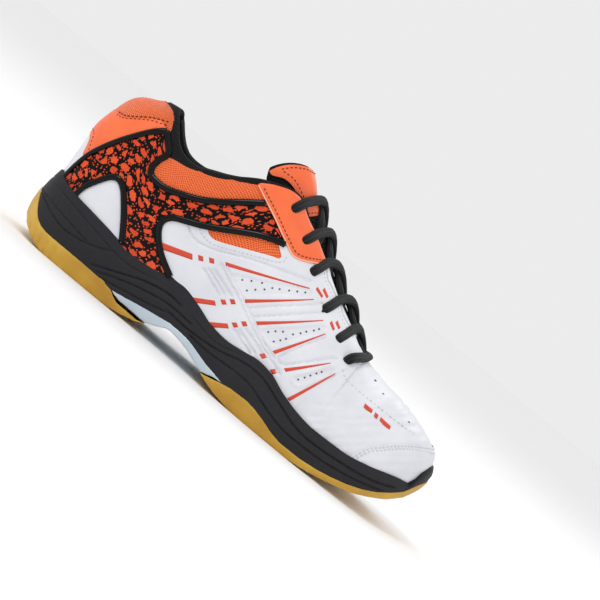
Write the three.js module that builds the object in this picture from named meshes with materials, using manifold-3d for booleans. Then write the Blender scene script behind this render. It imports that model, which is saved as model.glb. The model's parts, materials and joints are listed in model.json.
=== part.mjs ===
// Court shoe for racket sports, right foot, as an assembly of its sewn, moulded and laced pieces.
// Millimetres, +Z up, +X from heel to toe, -Y the outer (lateral) side, +Y the inner (medial) side.
// While building, x runs from the heel's back (0) to the toe's tip (290) and z = 0 is the ground;
// the finished group is shifted so that the origin is the middle of its footprint box, on the ground.
import * as THREE from 'three';
import { mergeVertices } from 'three/addons/utils/BufferGeometryUtils.js';
import Module from 'manifold-3d';

const wasm = await Module();
wasm.setup();

// ---------------------------------------------------------------- driving dimensions
const GAP = 0.3;                 // air between neighbouring pieces
const CUP_GAP = 0.5;             // air between the upper and the midsole's cup
const OUTER = 1.4;               // thickness of the outer panels
const BACKING = 1.2;             // thickness of foam, counter, puff and stays behind the panels
const LINING = 1.0;              // thickness of the inner lining
const COLLAR_PAD = 4.5;          // extra foam behind the collar
const WALL = 4.5;                // from the sole's outline to the upper at the feather line
const BOARD = 1.5;               // lasting board thickness
const SOCK = 3.5;                // sock liner thickness
const HEEL_X = 38;               // centre of the heel's round end
const HEEL_ROUND = 2.2;          // superellipse exponent of the heel's outline
const TOE = { x: 238, y: 4, reach: 52, z: 66.3, fall: 0.19 };
const TOE_ROUND = { '-1': 1.85, '1': 2.1 };
const THROAT_END = 213;          // x where the two quarters meet ahead of the tongue
const LACE_R = 1.9;
const LACE_STEPS = 104;
const EYELET_R = 3.4;
const LACE_ROOM = 0.55;          // air round the lace where it passes through the panels
const EYELETS = [[124.5, 112.5], [141.5, 102], [157, 91.7], [176.5, 79.5], [193.7, 71], [206, 65.2]];
const LATERAL = -1;
const MEDIAL = 1;
const SIDE_NAME = { '-1': 'lateral', '1': 'medial' };

// ---------------------------------------------------------------- smooth height and width curves
// A smooth curve through points [x, value] that never overshoots between them.
function curve(points) {
  const n = points.length;
  const slope = [];
  for (let i = 0; i < n - 1; i += 1) {
    slope.push((points[i + 1][1] - points[i][1]) / (points[i + 1][0] - points[i][0]));
  }
  const tangent = points.map((_, i) => {
    if (i === 0) return slope[0];
    if (i === n - 1) return slope[n - 2];
    if (slope[i - 1] * slope[i] <= 0) return 0;
    return 2 / (1 / slope[i - 1] + 1 / slope[i]);
  });
  return (x) => {
    if (x <= points[0][0]) return points[0][1];
    if (x >= points[n - 1][0]) return points[n - 1][1];
    let i = 0;
    while (x > points[i + 1][0]) i += 1;
    const h = points[i + 1][0] - points[i][0];
    const t = (x - points[i][0]) / h;
    const a = points[i][1] * (1 + 2 * t) * (1 - t) ** 2 + points[i + 1][1] * t * t * (3 - 2 * t);
    return a + h * (tangent[i] * t * (1 - t) ** 2 - tangent[i + 1] * t * t * (1 - t));
  };
}

const outline = {
  '-1': curve([[38, 37], [65, 38], [90, 37], [115, 39], [140, 44], [165, 49.5], [190, 53],
    [212, 53.5], [238, 49]]),
  '1': curve([[38, 36], [65, 35], [90, 33], [115, 32.5], [140, 35.5], [165, 42], [190, 49],
    [212, 52], [238, 50]]),
};
const footbed = curve([[0, 25], [40, 24], [90, 22.5], [112, 21.5], [140, 18], [180, 14], [215, 12.5],
  [240, 15], [255, 18.5], [265, 22], [275, 27], [285, 33], [290, 36]]);
const midsoleTop = curve([[0, 40], [4, 44], [9, 41], [20, 39], [35, 37.5], [58, 34.5], [65, 32.5],
  [72, 33.5], [85, 36], [96, 38.5], [103, 38.3], [118, 35], [132, 31], [143, 30], [155, 31.5],
  [166, 33.3], [175, 32.5], [190, 27.5], [205, 24], [215, 23], [235, 23.3], [255, 26.5], [265, 29],
  [275, 31], [281.5, 31.5], [284, 41], [287.5, 47], [290, 47]]);
const toeSpring = curve([[212, -0.5], [232, 1], [243, 4], [255, 7], [265, 11], [275, 16], [283, 22.5],
  [288, 30.5], [290, 37]]);
const topLine = curve([[27, 115], [33, 115.5], [38, 112], [45, 104], [50, 99.5], [55, 97], [60, 96.3],
  [66, 96.7], [72, 99], [80, 102.5], [88, 107], [95, 112], [104, 117], [113, 121], [120, 122.5],
  [126, 121.5], [137, 114.5], [146, 110.5], [160, 101.5], [168, 96], [180, 89], [198, 80], [207, 75],
  [215, 71], [226, 68.6], [238, 66.3]]);
const topHalf = curve([[38, 20], [50, 26], [60, 28.5], [75, 30], [90, 29.5], [105, 27], [115, 23.5],
  [125, 19.5], [135, 16.5], [150, 14.5], [170, 13], [190, 12], [205, 10.5], [THROAT_END, 7]]);
const crestY = curve([[95, 0], [150, 1.5], [215, 3], [238, 4]]);
const roundness = curve([[38, 0.15], [100, 0.2], [125, 0.5], [170, 0.6], [200, 0.8], [215, 1]]);
const bulge = curve([[38, 2], [60, 3], [120, 5], [170, 3], [205, 0]]);
const heelSide = curve([[0, 1], [0.25, 1.02], [0.4, 1.05], [0.55, 1.09], [0.7, 1.0], [0.8, 0.88],
  [0.86, 0.77], [0.905, 0.6], [0.968, 0.14], [1, 0]]);
const tongueLine = curve([[119, 137.3], [124, 133], [130, 127], [136, 121.5], [145, 114.5],
  [155, 107.5], [170, 96], [185, 87.5], [195, 82], [205, 73], [213, 64.5]]);
const tongueHalf = curve([[119, 20], [136, 21], [185, 22], [213, 20]]);
const tongueBend = curve([[119, 0.064], [136, 0.058], [170, 0.05], [195, 0.046], [213, 0.03]]);
const tongueFoam = curve([[119, 6], [150, 4.5], [190, 2.5], [213, 1.6]]);

// ---------------------------------------------------------------- ribs: stations around the shoe
// A rib stands on the outline and rises to the top line or the crest. The heel's and the toe's ribs
// fan round a pivot by an angle from the shoe's axis; the others stand square to the shoe at x.
const DEG = Math.PI / 180;
const HEEL_RIBS = [0, 18, 36, 54, 72].map((angle) => ({ heel: angle * DEG }));
const SIDE_RIBS = [38, 50, 62, 75, 88, 100, 112, 128, 144, 160, 178, 196, THROAT_END, 216, 226,
  238].map((x) => ({ x }));
const TOE_RIBS = [72, 54, 36, 18, 0].map((angle) => ({ toe: angle * DEG }));
const ALL_RIBS = [...HEEL_RIBS, ...SIDE_RIBS, ...TOE_RIBS];
const RISE = [0, 0.12, 0.25, 0.38, 0.5, 0.62, 0.74, 0.84, 0.92, 1];

function superPoint(angle, exponent) {
  return [Math.cos(angle) ** (2 / exponent), Math.abs(Math.sin(angle)) ** (2 / exponent)];
}

// The point of the sole's outline on a rib, moved inward by inset.
function outlinePoint(side, rib, inset) {
  if (rib.heel !== undefined) {
    const [along, across] = superPoint(rib.heel, HEEL_ROUND);
    return [HEEL_X - (HEEL_X - inset) * along, side * (outline[side](HEEL_X) - inset) * across];
  }
  if (rib.toe !== undefined) {
    const [along, across] = superPoint(rib.toe, TOE_ROUND[side]);
    const half = outline[side](TOE.x) - side * TOE.y;
    return [TOE.x + (TOE.reach - inset) * along, TOE.y + side * (half - inset) * across];
  }
  return [rib.x, side * (outline[side](rib.x) - inset)];
}

// The upper end of a rib: on the collar, the throat's edge, the crest or the toe's pivot.
function ribTop(side, rib) {
  if (rib.heel !== undefined) {
    const x = HEEL_X - 11 * Math.cos(rib.heel);
    return [x, side * topHalf(HEEL_X) * Math.sin(rib.heel), topLine(x)];
  }
  if (rib.toe !== undefined) return [TOE.x, TOE.y, TOE.z];
  if (rib.x > THROAT_END) return [rib.x, crestY(rib.x), topLine(rib.x)];
  return [rib.x, crestY(rib.x) + side * topHalf(rib.x), topLine(rib.x)];
}

function mix(a, b, t) {
  return a + (b - a) * t;
}

// Distance outward from the rib's top and height, at rise v from 0 (feather line) to 1 (top).
function ribProfile(rib, reach, low, high, v) {
  const back = rib.heel !== undefined ? Math.cos(rib.heel) ** 2 : 0;
  const front = rib.toe !== undefined ? Math.cos(rib.toe) ** 2 : 0;
  const x = rib.x ?? (rib.heel !== undefined ? HEEL_X : TOE.x);
  const exponent = mix(2.35, 5, front);
  const [shrink, grow] = superPoint(v * Math.PI / 2, exponent);
  const k = roundness(x);
  const out = mix(mix(1 - v, shrink, k), heelSide(v), back);
  const up = mix(mix(v, grow, k), v, back);
  const r = reach * out + bulge(x) * (1 - back) * Math.sin(Math.PI * v);
  const top = high - TOE.fall * r * front;
  return [r, mix(low, top, up)];
}

// A point of the upper: v from 0 to 1 up the rib, depth inward from the outer surface.
function upperPoint(side, rib, v, depth) {
  const [bx, by] = outlinePoint(side, rib, WALL);
  const [tx, ty, tz] = ribTop(side, rib);
  const fan = rib.x === undefined;
  const reach = fan ? Math.hypot(bx - tx, by - ty) : side * (by - ty);
  const low = footbed(bx) + GAP;
  const [r, z] = ribProfile(rib, reach, low, tz, v);
  const step = 0.004;
  const [r0, z0] = ribProfile(rib, reach, low, tz, Math.max(0, v - step));
  const [r1, z1] = ribProfile(rib, reach, low, tz, Math.min(1, v + step));
  const crest = v === 1 && (rib.toe !== undefined || rib.x > THROAT_END);
  const size = Math.hypot(z1 - z0, r0 - r1);
  const nr = crest ? 0 : (z1 - z0) / size;
  const nz = crest ? 1 : (r0 - r1) / size;
  const dx = fan ? (bx - tx) / reach : 0;
  const dy = fan ? (by - ty) / reach : side;
  const out = r - depth * nr;
  return [tx + dx * out, ty + dy * out, z - depth * nz];
}

// ---------------------------------------------------------------- solids
function geometryOf(points, triangles) {
  const geometry = new THREE.BufferGeometry();
  geometry.setAttribute('position', new THREE.Float32BufferAttribute(points.flat(), 3));
  geometry.setIndex(triangles.flat());
  return geometry;
}

function toManifold(geometry) {
  const bare = geometry.clone();
  bare.deleteAttribute('normal');
  bare.deleteAttribute('uv');
  const merged = mergeVertices(bare, 1e-4);
  return new wasm.Manifold(new wasm.Mesh({
    numProp: 3,
    vertProperties: new Float32Array(merged.attributes.position.array),
    triVerts: new Uint32Array(merged.index.array),
  }));
}

// The largest body of a cut solid: slivers left beside a cut are offcuts.
function largestBody(solid) {
  return solid.decompose().reduce((best, body) => (body.volume() > best.volume() ? body : best));
}

function fromManifold(solid) {
  const mesh = largestBody(solid).getMesh();
  const geometry = new THREE.BufferGeometry();
  const points = new Float32Array(mesh.numVert * 3);
  for (let i = 0; i < mesh.numVert; i += 1) {
    for (let k = 0; k < 3; k += 1) points[i * 3 + k] = mesh.vertProperties[i * mesh.numProp + k];
  }
  geometry.setAttribute('position', new THREE.BufferAttribute(points, 3));
  geometry.setIndex([...mesh.triVerts]);
  return geometry;
}

// Closes the space between two matching point grids (rows of equal length) into one solid.
// Points that coincide on the first grid are joined, so a sheet may fold over a crest. Where
// turned[i] is true, the squares between rows i and i + 1 are split along their other diagonal.
function thicken(rows, backRows, turned = []) {
  const index = new Map();
  const front = [];
  const back = [];
  const ids = rows.map((row, i) => row.map((p, j) => {
    const key = p.map((c) => c.toFixed(3)).join();
    if (!index.has(key)) {
      index.set(key, front.length);
      front.push(p);
      back.push(backRows[i][j]);
    }
    return index.get(key);
  }));
  const faces = [];
  for (let i = 0; i < ids.length - 1; i += 1) {
    for (let j = 0; j < ids[i].length - 1; j += 1) {
      const [a, b, c, d] = [ids[i][j], ids[i + 1][j], ids[i + 1][j + 1], ids[i][j + 1]];
      faces.push(...(turned[i] ? [[a, b, d], [b, c, d]] : [[a, b, c], [a, c, d]]));
    }
  }
  const kept = faces.filter(([a, b, c]) => a !== b && b !== c && a !== c);
  const edges = new Map();
  kept.forEach((face) => face.forEach((from, k) => edges.set(`${from},${face[(k + 1) % 3]}`, true)));
  const n = front.length;
  const triangles = [...kept, ...kept.map(([a, b, c]) => [a + n, c + n, b + n])];
  for (const key of edges.keys()) {
    const [a, b] = key.split(',').map(Number);
    if (!edges.has(`${b},${a}`)) triangles.push([a, b + n, b], [a, a + n, b + n]);
  }
  return outward(geometryOf([...front, ...back], triangles));
}

// Turns a closed geometry inside out if its faces point inward.
function outward(geometry) {
  const p = geometry.attributes.position;
  const id = geometry.index.array;
  const corner = (i) => new THREE.Vector3().fromBufferAttribute(p, id[i]);
  let volume = 0;
  for (let i = 0; i < id.length; i += 3) {
    volume += corner(i).dot(corner(i + 1).cross(corner(i + 2)));
  }
  if (volume < 0) {
    for (let i = 0; i < id.length; i += 3) [id[i + 1], id[i + 2]] = [id[i + 2], id[i + 1]];
  }
  return geometry;
}

// A sheet of the upper over the given stations [side, rib] between two depths (numbers or functions).
function sheet(stations, rises, near, far) {
  const depthAt = (depth, rib, v) => (typeof depth === 'function' ? depth(rib, v) : depth);
  const rowsAt = (depth) => stations.map(([side, rib]) => (
    rises.map((v) => upperPoint(side, rib, v, depthAt(depth, rib, v)))));
  // Every square is split from its low corner nearest the heel, so that stacked sheets stay parallel.
  const place = stations.map(([side, rib]) => outlinePoint(side, rib, 0)[0]);
  const turned = place.slice(1).map((x, i) => x < place[i]);
  return toManifold(thicken(rowsAt(near), rowsAt(far), turned));
}

// A slab across the shoe between two height curves, inside the outline by inset.
function slabAcross(ribs, inset, low, high) {
  const grid = (height) => ribs.map((rib) => [LATERAL, MEDIAL].map((side) => {
    const [x, y] = outlinePoint(side, rib, inset);
    return [x, y, height(x)];
  }));
  return toManifold(thicken(grid(low), grid(high)));
}

// A wall along Y with the given side-view outline [x, z].
function prism(points, yFrom = -80, yTo = 80) {
  const shape = new THREE.Shape(points.map(([x, z]) => new THREE.Vector2(x, z)));
  const geometry = new THREE.ExtrudeGeometry(shape, { depth: yTo - yFrom, bevelEnabled: false });
  geometry.rotateX(Math.PI / 2);
  geometry.translate(0, yTo, 0);
  return toManifold(geometry);
}

// The same outline moved outward (or inward, if negative) by a distance.
function grown(points, distance) {
  const area = points.reduce((sum, [x, z], i) => {
    const [nx, nz] = points[(i + 1) % points.length];
    return sum + x * nz - nx * z;
  }, 0);
  const turn = Math.sign(area);
  return points.map(([x, z], i) => {
    const before = points[(i + points.length - 1) % points.length];
    const after = points[(i + 1) % points.length];
    const inward = new THREE.Vector2(x - before[0], z - before[1]).normalize();
    const onward = new THREE.Vector2(after[0] - x, after[1] - z).normalize();
    const bisector = new THREE.Vector2(inward.y + onward.y, -inward.x - onward.x).normalize();
    const stretch = distance * turn / Math.max(0.5, bisector.dot(new THREE.Vector2(onward.y, -onward.x)));
    return [x + bisector.x * stretch, z + bisector.y * stretch];
  });
}

// ---------------------------------------------------------------- the group and its materials
const shoe = new THREE.Group();
function add(name, geometry, [color, roughness, metalness = 0]) {
  const mesh = new THREE.Mesh(geometry, new THREE.MeshStandardMaterial({ color, roughness, metalness }));
  mesh.name = name;
  shoe.add(mesh);
}
const GUM = [0xbe9123, 0.45];
const EVA = [0x26262a, 0.7];
const SHANK = [0xaab9c3, 0.3, 0.3];
const WHITE = [0xe6e6eb, 0.5];
const ORANGE = [0xf06e3c, 0.5];
const CRACKLE = [0x8a3a20, 0.35];
const BLACK_MESH = [0x161618, 0.9];
const FOAM = [0xcfc8b8, 0.95];
const BOARD_FIBRE = [0xd8d2c4, 0.9];
const STIFFENER = [0xb8b4a8, 0.6];

// ---------------------------------------------------------------- sole
const gumHeelTop = [[1, 28], [4, 24.5], [7, 20], [10, 16.5], [13, 14], [17, 12.3], [22, 11.5],
  [50, 11.5], [66, 11], [73, 9.8]];
const gumShank = [[73, 9.8], [76, 7.5], [80, 5.8], [95, 5.5], [100, 6.5]];
const gumHeelUnder = [[100, 6.5], [95, 4], [85, 1.5], [75, 0], [28, 0], [22, 0.7], [16, 3], [12, 5],
  [8, 7.5], [4, 11.5], [2, 17], [0.5, 25]];
const shankTop = [[73, 9.8], [80, 11], [90, 13.2], [105, 15.8], [112, 16.8], [120, 16.8], [127, 16.3],
  [135, 14.5], [143, 12.5], [150, 11.3], [158, 9.8]];
const shankUnder = [[144, 6], [138, 8], [131, 10.5], [124, 12], [116, 13], [112, 12.6], [106, 9.5],
  [100, 6.5]];
const gumFrontTop = [[144, 6], [152, 8], [158, 9.8], [163, 11], [175, 11.8], [182, 11], [190, 9],
  [197, 6.7], [205, 5.2], [220, 5.3], [232, 6.5], [240, 8], [250, 10.5], [260, 13.8], [268, 17.5],
  [275, 22], [281, 26.5], [286, 34.5], [290, 38.5]];
const gumFrontUnder = [[292, 38.5], [290.5, 38], [288, 31], [283, 23], [275, 16.5], [265, 11.5],
  [255, 7.5], [246, 5.2], [235, 2.6], [225, 1], [214, 0], [172, 0], [165, 0.8], [157, 2], [150, 3.8]];

const WALL_LEVELS = [[0, 2.2], [0.15, 0.9], [0.45, 0], [0.8, 0.8], [1, 2.3]];
function soleWallPoint(side, rib, [level, inset]) {
  const [x] = outlinePoint(side, rib, 0);
  const low = Math.max(-0.5, toeSpring(x));
  const soften = x > 250 && level < 0.4 ? Math.max(0, 1 - (x - 250) / 30) : 1;
  const [ix, iy] = outlinePoint(side, rib, inset * soften);
  return [ix, iy, mix(low, midsoleTop(x), level)];
}
function ringSolid(pointAt, levels) {
  const points = [];
  const columns = [...ALL_RIBS.map((rib) => [LATERAL, rib]),
    ...ALL_RIBS.slice(1, -1).reverse().map((rib) => [MEDIAL, rib])];
  levels.forEach((level) => columns.forEach(([side, rib]) => points.push(pointAt(side, rib, level))));
  const n = columns.length;
  const triangles = [];
  for (let j = 0; j < levels.length - 1; j += 1) {
    for (let i = 0; i < n; i += 1) {
      const [a, b] = [j * n + i, j * n + (i + 1) % n];
      if (i < ALL_RIBS.length - 1) triangles.push([a, b, b + n], [a, b + n, a + n]);
      else triangles.push([a, b, a + n], [b, b + n, a + n]);
    }
  }
  const last = (levels.length - 1) * n;
  for (let i = 0; i < n / 2; i += 1) {
    const [a, b, c, d] = [i, i + 1, (n - i - 1) % n, (n - i) % n];
    const strip = [[a, b, c], [a, c, d]].filter((f) => new Set(f).size === 3);
    strip.forEach(([p, q, r]) => triangles.push([p, r, q], [p + last, q + last, r + last]));
  }
  return toManifold(outward(geometryOf(points, triangles)));
}
const soleBlock = ringSolid(soleWallPoint, WALL_LEVELS);
const upperHollow = ringSolid((side, rib, level) => {
  const [x, y, z] = upperPoint(side, rib, level, -CUP_GAP);
  return level === 0 ? [x, y, z - GAP] : [x, y, z];
}, [0, 0.12, 0.25, 0.38, 0.5, 0.62]);

const raised = (points, distance) => points.map(([x, z]) => [x, z + distance]);
const gumHeel = [[-5, 28], ...gumHeelTop, ...gumShank.slice(1), ...gumHeelUnder.slice(1), [-5, 25]];
const gumFront = [...gumFrontTop, ...gumFrontUnder];
const shankOutline = [...shankTop, gumFrontTop[1], ...shankUnder, ...gumShank.slice(1, -1).reverse()];
const belowMidsole = [[-5, 28 + GAP], ...raised([...gumHeelTop, ...shankTop.slice(1),
  ...gumFrontTop.slice(3), [292, 40]], GAP), [300, 40], [300, -5], [-5, -5]];
add('midsole', fromManifold(soleBlock.subtract(prism(belowMidsole)).subtract(upperHollow)), EVA);
add('outsole_heel', fromManifold(soleBlock.intersect(prism(gumHeel))), GUM);
add('outsole_forefoot', fromManifold(soleBlock.intersect(prism(gumFront))), GUM);
add('arch_shank', fromManifold(soleBlock.intersect(prism(shankOutline))
  .subtract(prism(grown(gumHeel, GAP)))
  .subtract(prism(grown(gumFront, GAP)))), SHANK);

// ---------------------------------------------------------------- lasting board and sock liner
const INSIDE = WALL + OUTER + BACKING + LINING + 6 * GAP;
const boardLow = (x) => footbed(x) + GAP;
const sockLow = (x) => boardLow(x) + BOARD + GAP;
add('lasting_board', fromManifold(slabAcross(ALL_RIBS, INSIDE, boardLow,
  (x) => boardLow(x) + BOARD)), BOARD_FIBRE);
add('sock_liner', fromManifold(slabAcross(ALL_RIBS, INSIDE + 0.6, sockLow,
  (x) => sockLow(x) + SOCK)), BLACK_MESH);

// ---------------------------------------------------------------- lace and its eyelets
// The rise v at which a rib of the quarter reaches height z on its outer surface.
function riseAt(side, rib, z) {
  let [low, high] = [0, 1];
  for (let i = 0; i < 30; i += 1) {
    const middle = (low + high) / 2;
    if (upperPoint(side, rib, middle, 0)[2] < z) low = middle;
    else high = middle;
  }
  return low;
}
const tongueZ = (x) => tongueLine(x);

// One lace, from its tucked end inside the top lateral eyelet down to the bar across the bottom
// pair and up again to the top medial eyelet: under each throat edge, out through the eyelet,
// back over the edge and across the tongue.
function eyeletPoints(side, i) {
  const [x, z] = EYELETS[i];
  const rib = { x };
  const v = riseAt(side, rib, z);
  const at = (depth) => new THREE.Vector3(...upperPoint(side, rib, v, depth));
  const edgeX = Math.min(x + 5, THROAT_END - 1);
  const edge = new THREE.Vector3(edgeX, crestY(edgeX) + side * topHalf(edgeX), topLine(edgeX));
  const toEdge = (p, share) => p.clone().lerp(edge.clone().add(p).sub(at(0)), share);
  const under = toEdge(at(OUTER + GAP + LACE_R), 0.3);
  const over = toEdge(at(-LACE_R - 0.6), 0.35);
  return {
    inside: [edge.clone().add(new THREE.Vector3(1, -side * 2.6, -1.2)), under],
    hole: at(0.7).addScaledVector(edge.clone().sub(at(0)).normalize(), -0.8),
    outside: [over, edge.clone().add(new THREE.Vector3(0, -side * 0.5, LACE_R + 1.1))],
  };
}
function crossing(i, above) {
  const x = (EYELETS[i][0] + EYELETS[i + 1][0]) / 2 + 4;
  return new THREE.Vector3(x, crestY(x), tongueZ(x) + LACE_R + 0.7 + (above ? 2 * LACE_R + 0.5 : 0));
}
function laceRoute() {
  const route = [];
  const last = EYELETS.length - 1;
  const topEnd = (side) => {
    const { hole } = eyeletPoints(side, 0);
    return new THREE.Vector3(hole.x - 0.5, hole.y - side * 3.2, hole.z - 1.5);
  };
  let side = LATERAL;
  route.push(topEnd(side));
  for (let i = 0; i <= last; i += 1) {
    const { inside, hole, outside } = eyeletPoints(side, i);
    if (i > 0) route.push(...inside);
    route.push(hole, outside[0]);
    if (i < last) route.push(outside[1], crossing(i, i % 2 === 0));
    if (i < last) side = -side;
  }
  const barX = EYELETS[last][0] + 5;
  route.push(new THREE.Vector3(barX, crestY(barX), topLine(barX) + LACE_R + 1));
  side = -side;
  for (let i = last; i >= 0; i -= 1) {
    const { inside, hole, outside } = eyeletPoints(side, i);
    if (i < last) route.push(outside[1]);
    route.push(outside[0], hole);
    if (i > 0) route.push(...[...inside].reverse(), crossing(i - 1, i % 2 === 0));
    if (i > 0) side = -side;
  }
  route.push(topEnd(side));
  return new THREE.CatmullRomCurve3(route);
}
function laceTube(radius) {
  const section = new THREE.Shape().absarc(0, 0, radius, 0, 2 * Math.PI);
  const rim = new THREE.Shape(section.getPoints(4).slice(0, 8));
  return new THREE.ExtrudeGeometry(rim, { steps: LACE_STEPS, extrudePath: laceRoute(),
    bevelEnabled: false });
}
// A punched eyelet: a short round hole square to the panel.
function eyeletHole(side, i) {
  const [x, z] = EYELETS[i];
  const v = riseAt(side, { x }, z);
  const [outer, inner] = [-2, 6.5].map((depth) => new THREE.Vector3(...upperPoint(side, { x }, v, depth)));
  const hole = new THREE.CylinderGeometry(EYELET_R, EYELET_R, outer.distanceTo(inner), 8);
  hole.applyQuaternion(new THREE.Quaternion().setFromUnitVectors(new THREE.Vector3(0, 1, 0),
    outer.clone().sub(inner).normalize()));
  hole.translate(...outer.add(inner).multiplyScalar(0.5));
  return toManifold(hole);
}
const eyeletHoles = [LATERAL, MEDIAL].flatMap((side) => EYELETS.map((_, i) => eyeletHole(side, i)));
const laceRoom = eyeletHoles.reduce((room, hole) => room.add(hole),
  toManifold(laceTube(LACE_R + LACE_ROOM)));
add('lace', laceTube(LACE_R), BLACK_MESH);

// ---------------------------------------------------------------- upper panels
const eyestayOutline = [[100, 111.5], [104, 118], [110, 124], [118, 130], [135, 124], [150, 112],
  [162, 103], [160.5, 99.5], [155, 96.5], [150, 93.8], [145, 92], [141, 92.2], [137, 94],
  [130, 97.5], [120, 102.5], [110, 106.8]];
const bandLower = [[37, 99.6], [40, 101.5], [43, 98], [47, 92], [50, 90.5], [57, 90.3], [62, 91],
  [70, 94], [80, 98.5], [90, 104.5], [97, 109.5], [101, 112.5]];
const bandOutline = [...bandLower, [106, 124], [90, 125], [60, 125], [38, 125], [34, 118], [33, 108]];
const crackleOutline = [[9, 42], [9.7, 50], [12, 61], [16, 70], [21, 79], [27, 88], [33, 96],
  [38, 101], [43, 96.5], [47.5, 91.5], [46, 86], [45.5, 80], [48, 76], [53, 75], [60, 75.5], [70, 79],
  [80, 83.5], [90, 90], [100, 98], [110, 105.5], [120, 101.5], [130, 96.5], [136, 94], [130, 93],
  [120, 89.5], [110, 84], [100, 78], [90, 72.5], [80, 68], [74, 65], [71, 61], [71, 57], [74, 52],
  [80, 46], [87, 41.5], [100, 34], [100, 20], [60, 20], [60, 36], [52, 46.5], [44, 56], [39, 60.5],
  [35, 62], [31, 60], [27, 54], [23, 46], [21.5, 38], [21, 20], [9, 20]];
const heelWindow = [[21.5, 20], [21.5, 38], [23, 46], [27, 54], [31, 60], [35, 62], [39, 60.5],
  [44, 56], [52, 46.5], [60, 36], [60, 20]];
const collarWindow = [[47.5, 91.3], [46, 86], [45.5, 80], [48, 76], [53, 75], [60, 75.5], [70, 79],
  [80, 83.5], [90, 90], [100, 98], [110, 105.5], [101, 112], [90, 107], [80, 101], [60, 95], [50, 94]];
const lowerWindow = [[91, 72.5], [97, 71], [101, 70.8], [106, 72.5], [115, 76.5], [125, 81],
  [133, 84.5], [137, 86.5], [133, 89.5], [129, 90], [120, 86.5], [110, 82], [100, 77]];
const heelPatch = [[-5, 72], [3, 72], [6, 66], [9, 60], [12, 61], [16, 70], [21, 79], [27, 88],
  [33, 96], [38, 101], [33, 104], [27, 101], [20, 96], [14, 92], [9, 91], [-5, 90]];
const heelTop = [[-5, 90], [9, 91], [14, 92], [20, 96], [27, 101], [33, 104], [38, 101.5], [34, 108],
  [36, 120], [-5, 125]];
const heelBase = [[-5, 72], [3, 72], [6, 66], [9, 60], [11.5, 60], [9.7, 50], [9, 42], [9, 20],
  [-5, 20]];
const vampEdge = [[220, 90], [216, 68], [207, 59], [199, 24], [199, 5]];
const toeCapSeam = [[242.3, 5], [242.3, 25], [245, 31], [247.7, 36], [251.5, 39.2], [255, 42.7],
  [261, 47.7], [267, 51.5], [272, 53.8], [277, 55.4], [300, 56]];

const onSide = (side, from, to) => ALL_RIBS.slice(from, to).map((rib) => [side, rib]);
const RIB_COUNT = ALL_RIBS.length;
const THROAT_RIB = ALL_RIBS.findIndex((rib) => rib.x === THROAT_END);
const aroundHeel = (to) => [...onSide(LATERAL, 0, to).reverse(), ...onSide(MEDIAL, 1, to)];
const aroundToe = (from) => [...onSide(LATERAL, from, RIB_COUNT), ...onSide(MEDIAL, from, RIB_COUNT - 1)
  .reverse()];
const panel = (slab, outlinePoints, overlays) => overlays.reduce(
  (piece, overlay) => piece.subtract(prism(grown(overlay, GAP))),
  slab.intersect(prism(outlinePoints)),
);
for (const side of [LATERAL, MEDIAL]) {
  const name = SIDE_NAME[side];
  const quarterSlab = sheet(onSide(side, 1, THROAT_RIB + 3), RISE, 0, OUTER).subtract(laceRoom);
  const pieces = {
    eyestay: [eyestayOutline, [], ORANGE],
    collar_band: [bandOutline, [eyestayOutline], BLACK_MESH],
    crackle_overlay: [crackleOutline, [eyestayOutline, bandOutline], CRACKLE],
    heel_window: [heelWindow, [crackleOutline], WHITE],
    collar_mesh: [collarWindow, [eyestayOutline, bandOutline, crackleOutline], ORANGE],
    mesh_window: [lowerWindow, [crackleOutline], ORANGE],
  };
  for (const [piece, [points, overlays, look]] of Object.entries(pieces)) {
    add(`${piece}_${name}`, fromManifold(panel(quarterSlab, points, overlays)), look);
  }
  const quarterField = [[60, 5], [60, 110], [213, 140], ...vampEdge.map(([x, z]) => [x - GAP, z])];
  add(`quarter_${name}`, fromManifold(panel(quarterSlab, quarterField, [eyestayOutline,
    crackleOutline, lowerWindow, collarWindow, bandOutline])), WHITE);
}
const heelSlab = sheet(aroundHeel(7), RISE, 0, OUTER);
add('heel_patch', fromManifold(panel(heelSlab, heelPatch, [crackleOutline, bandOutline])), ORANGE);
add('heel_mesh', fromManifold(panel(heelSlab, heelTop, [heelPatch, bandOutline, crackleOutline])),
  ORANGE);
add('heel_base_panel', fromManifold(panel(heelSlab, heelBase, [heelPatch, crackleOutline])), WHITE);
const toeSlab = sheet(aroundToe(THROAT_RIB - 2), RISE, 0, OUTER).subtract(laceRoom);
const toeCapRegion = [...toeCapSeam, [300, 5]];
add('vamp', fromManifold(panel(toeSlab, [...vampEdge, [300, 5], [300, 90]], [toeCapRegion])), WHITE);
add('toe_cap', fromManifold(toeSlab.intersect(prism(toeCapRegion))), WHITE);

// ---------------------------------------------------------------- layers behind the panels
// Extra depth of the padding behind the collar: none at the throat, rounded off at the top line.
function collarPad(rib, v) {
  const x = rib.x ?? (rib.heel !== undefined ? HEEL_X : TOE.x);
  const along = THREE.MathUtils.smoothstep(112 - x, 0, 24);
  const up = THREE.MathUtils.smoothstep(v, 0.38, 0.74) * (v === 1 ? 0.3 : 1);
  return COLLAR_PAD * along * up;
}
const backingNear = OUTER + GAP;
const backingFar = backingNear + BACKING;
const liningNear = (rib, v) => backingFar + GAP + collarPad(rib, v);
const liningFar = (rib, v) => liningNear(rib, v) + LINING;
const foamFar = (rib, v) => backingFar + collarPad(rib, v);
const LOW_RISE = [0, 0.12, 0.25, 0.38, 0.495];
const MID_RISE = [0, 0.12, 0.25, 0.38, 0.5, 0.62, 0.735];
const HIGH_RISE = [0.505, 0.62, 0.74, 0.84, 0.92];
const STAY_RISE = [0.745, 0.84, 0.92, 0.99];
const ribIndex = (x) => ALL_RIBS.findIndex((rib) => rib.x === x);
const nudged = (stations, shift) => stations.map(([side, rib], i) => (
  i === 0 && rib.x ? [side, { x: rib.x + shift }] : [side, rib]));
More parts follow.
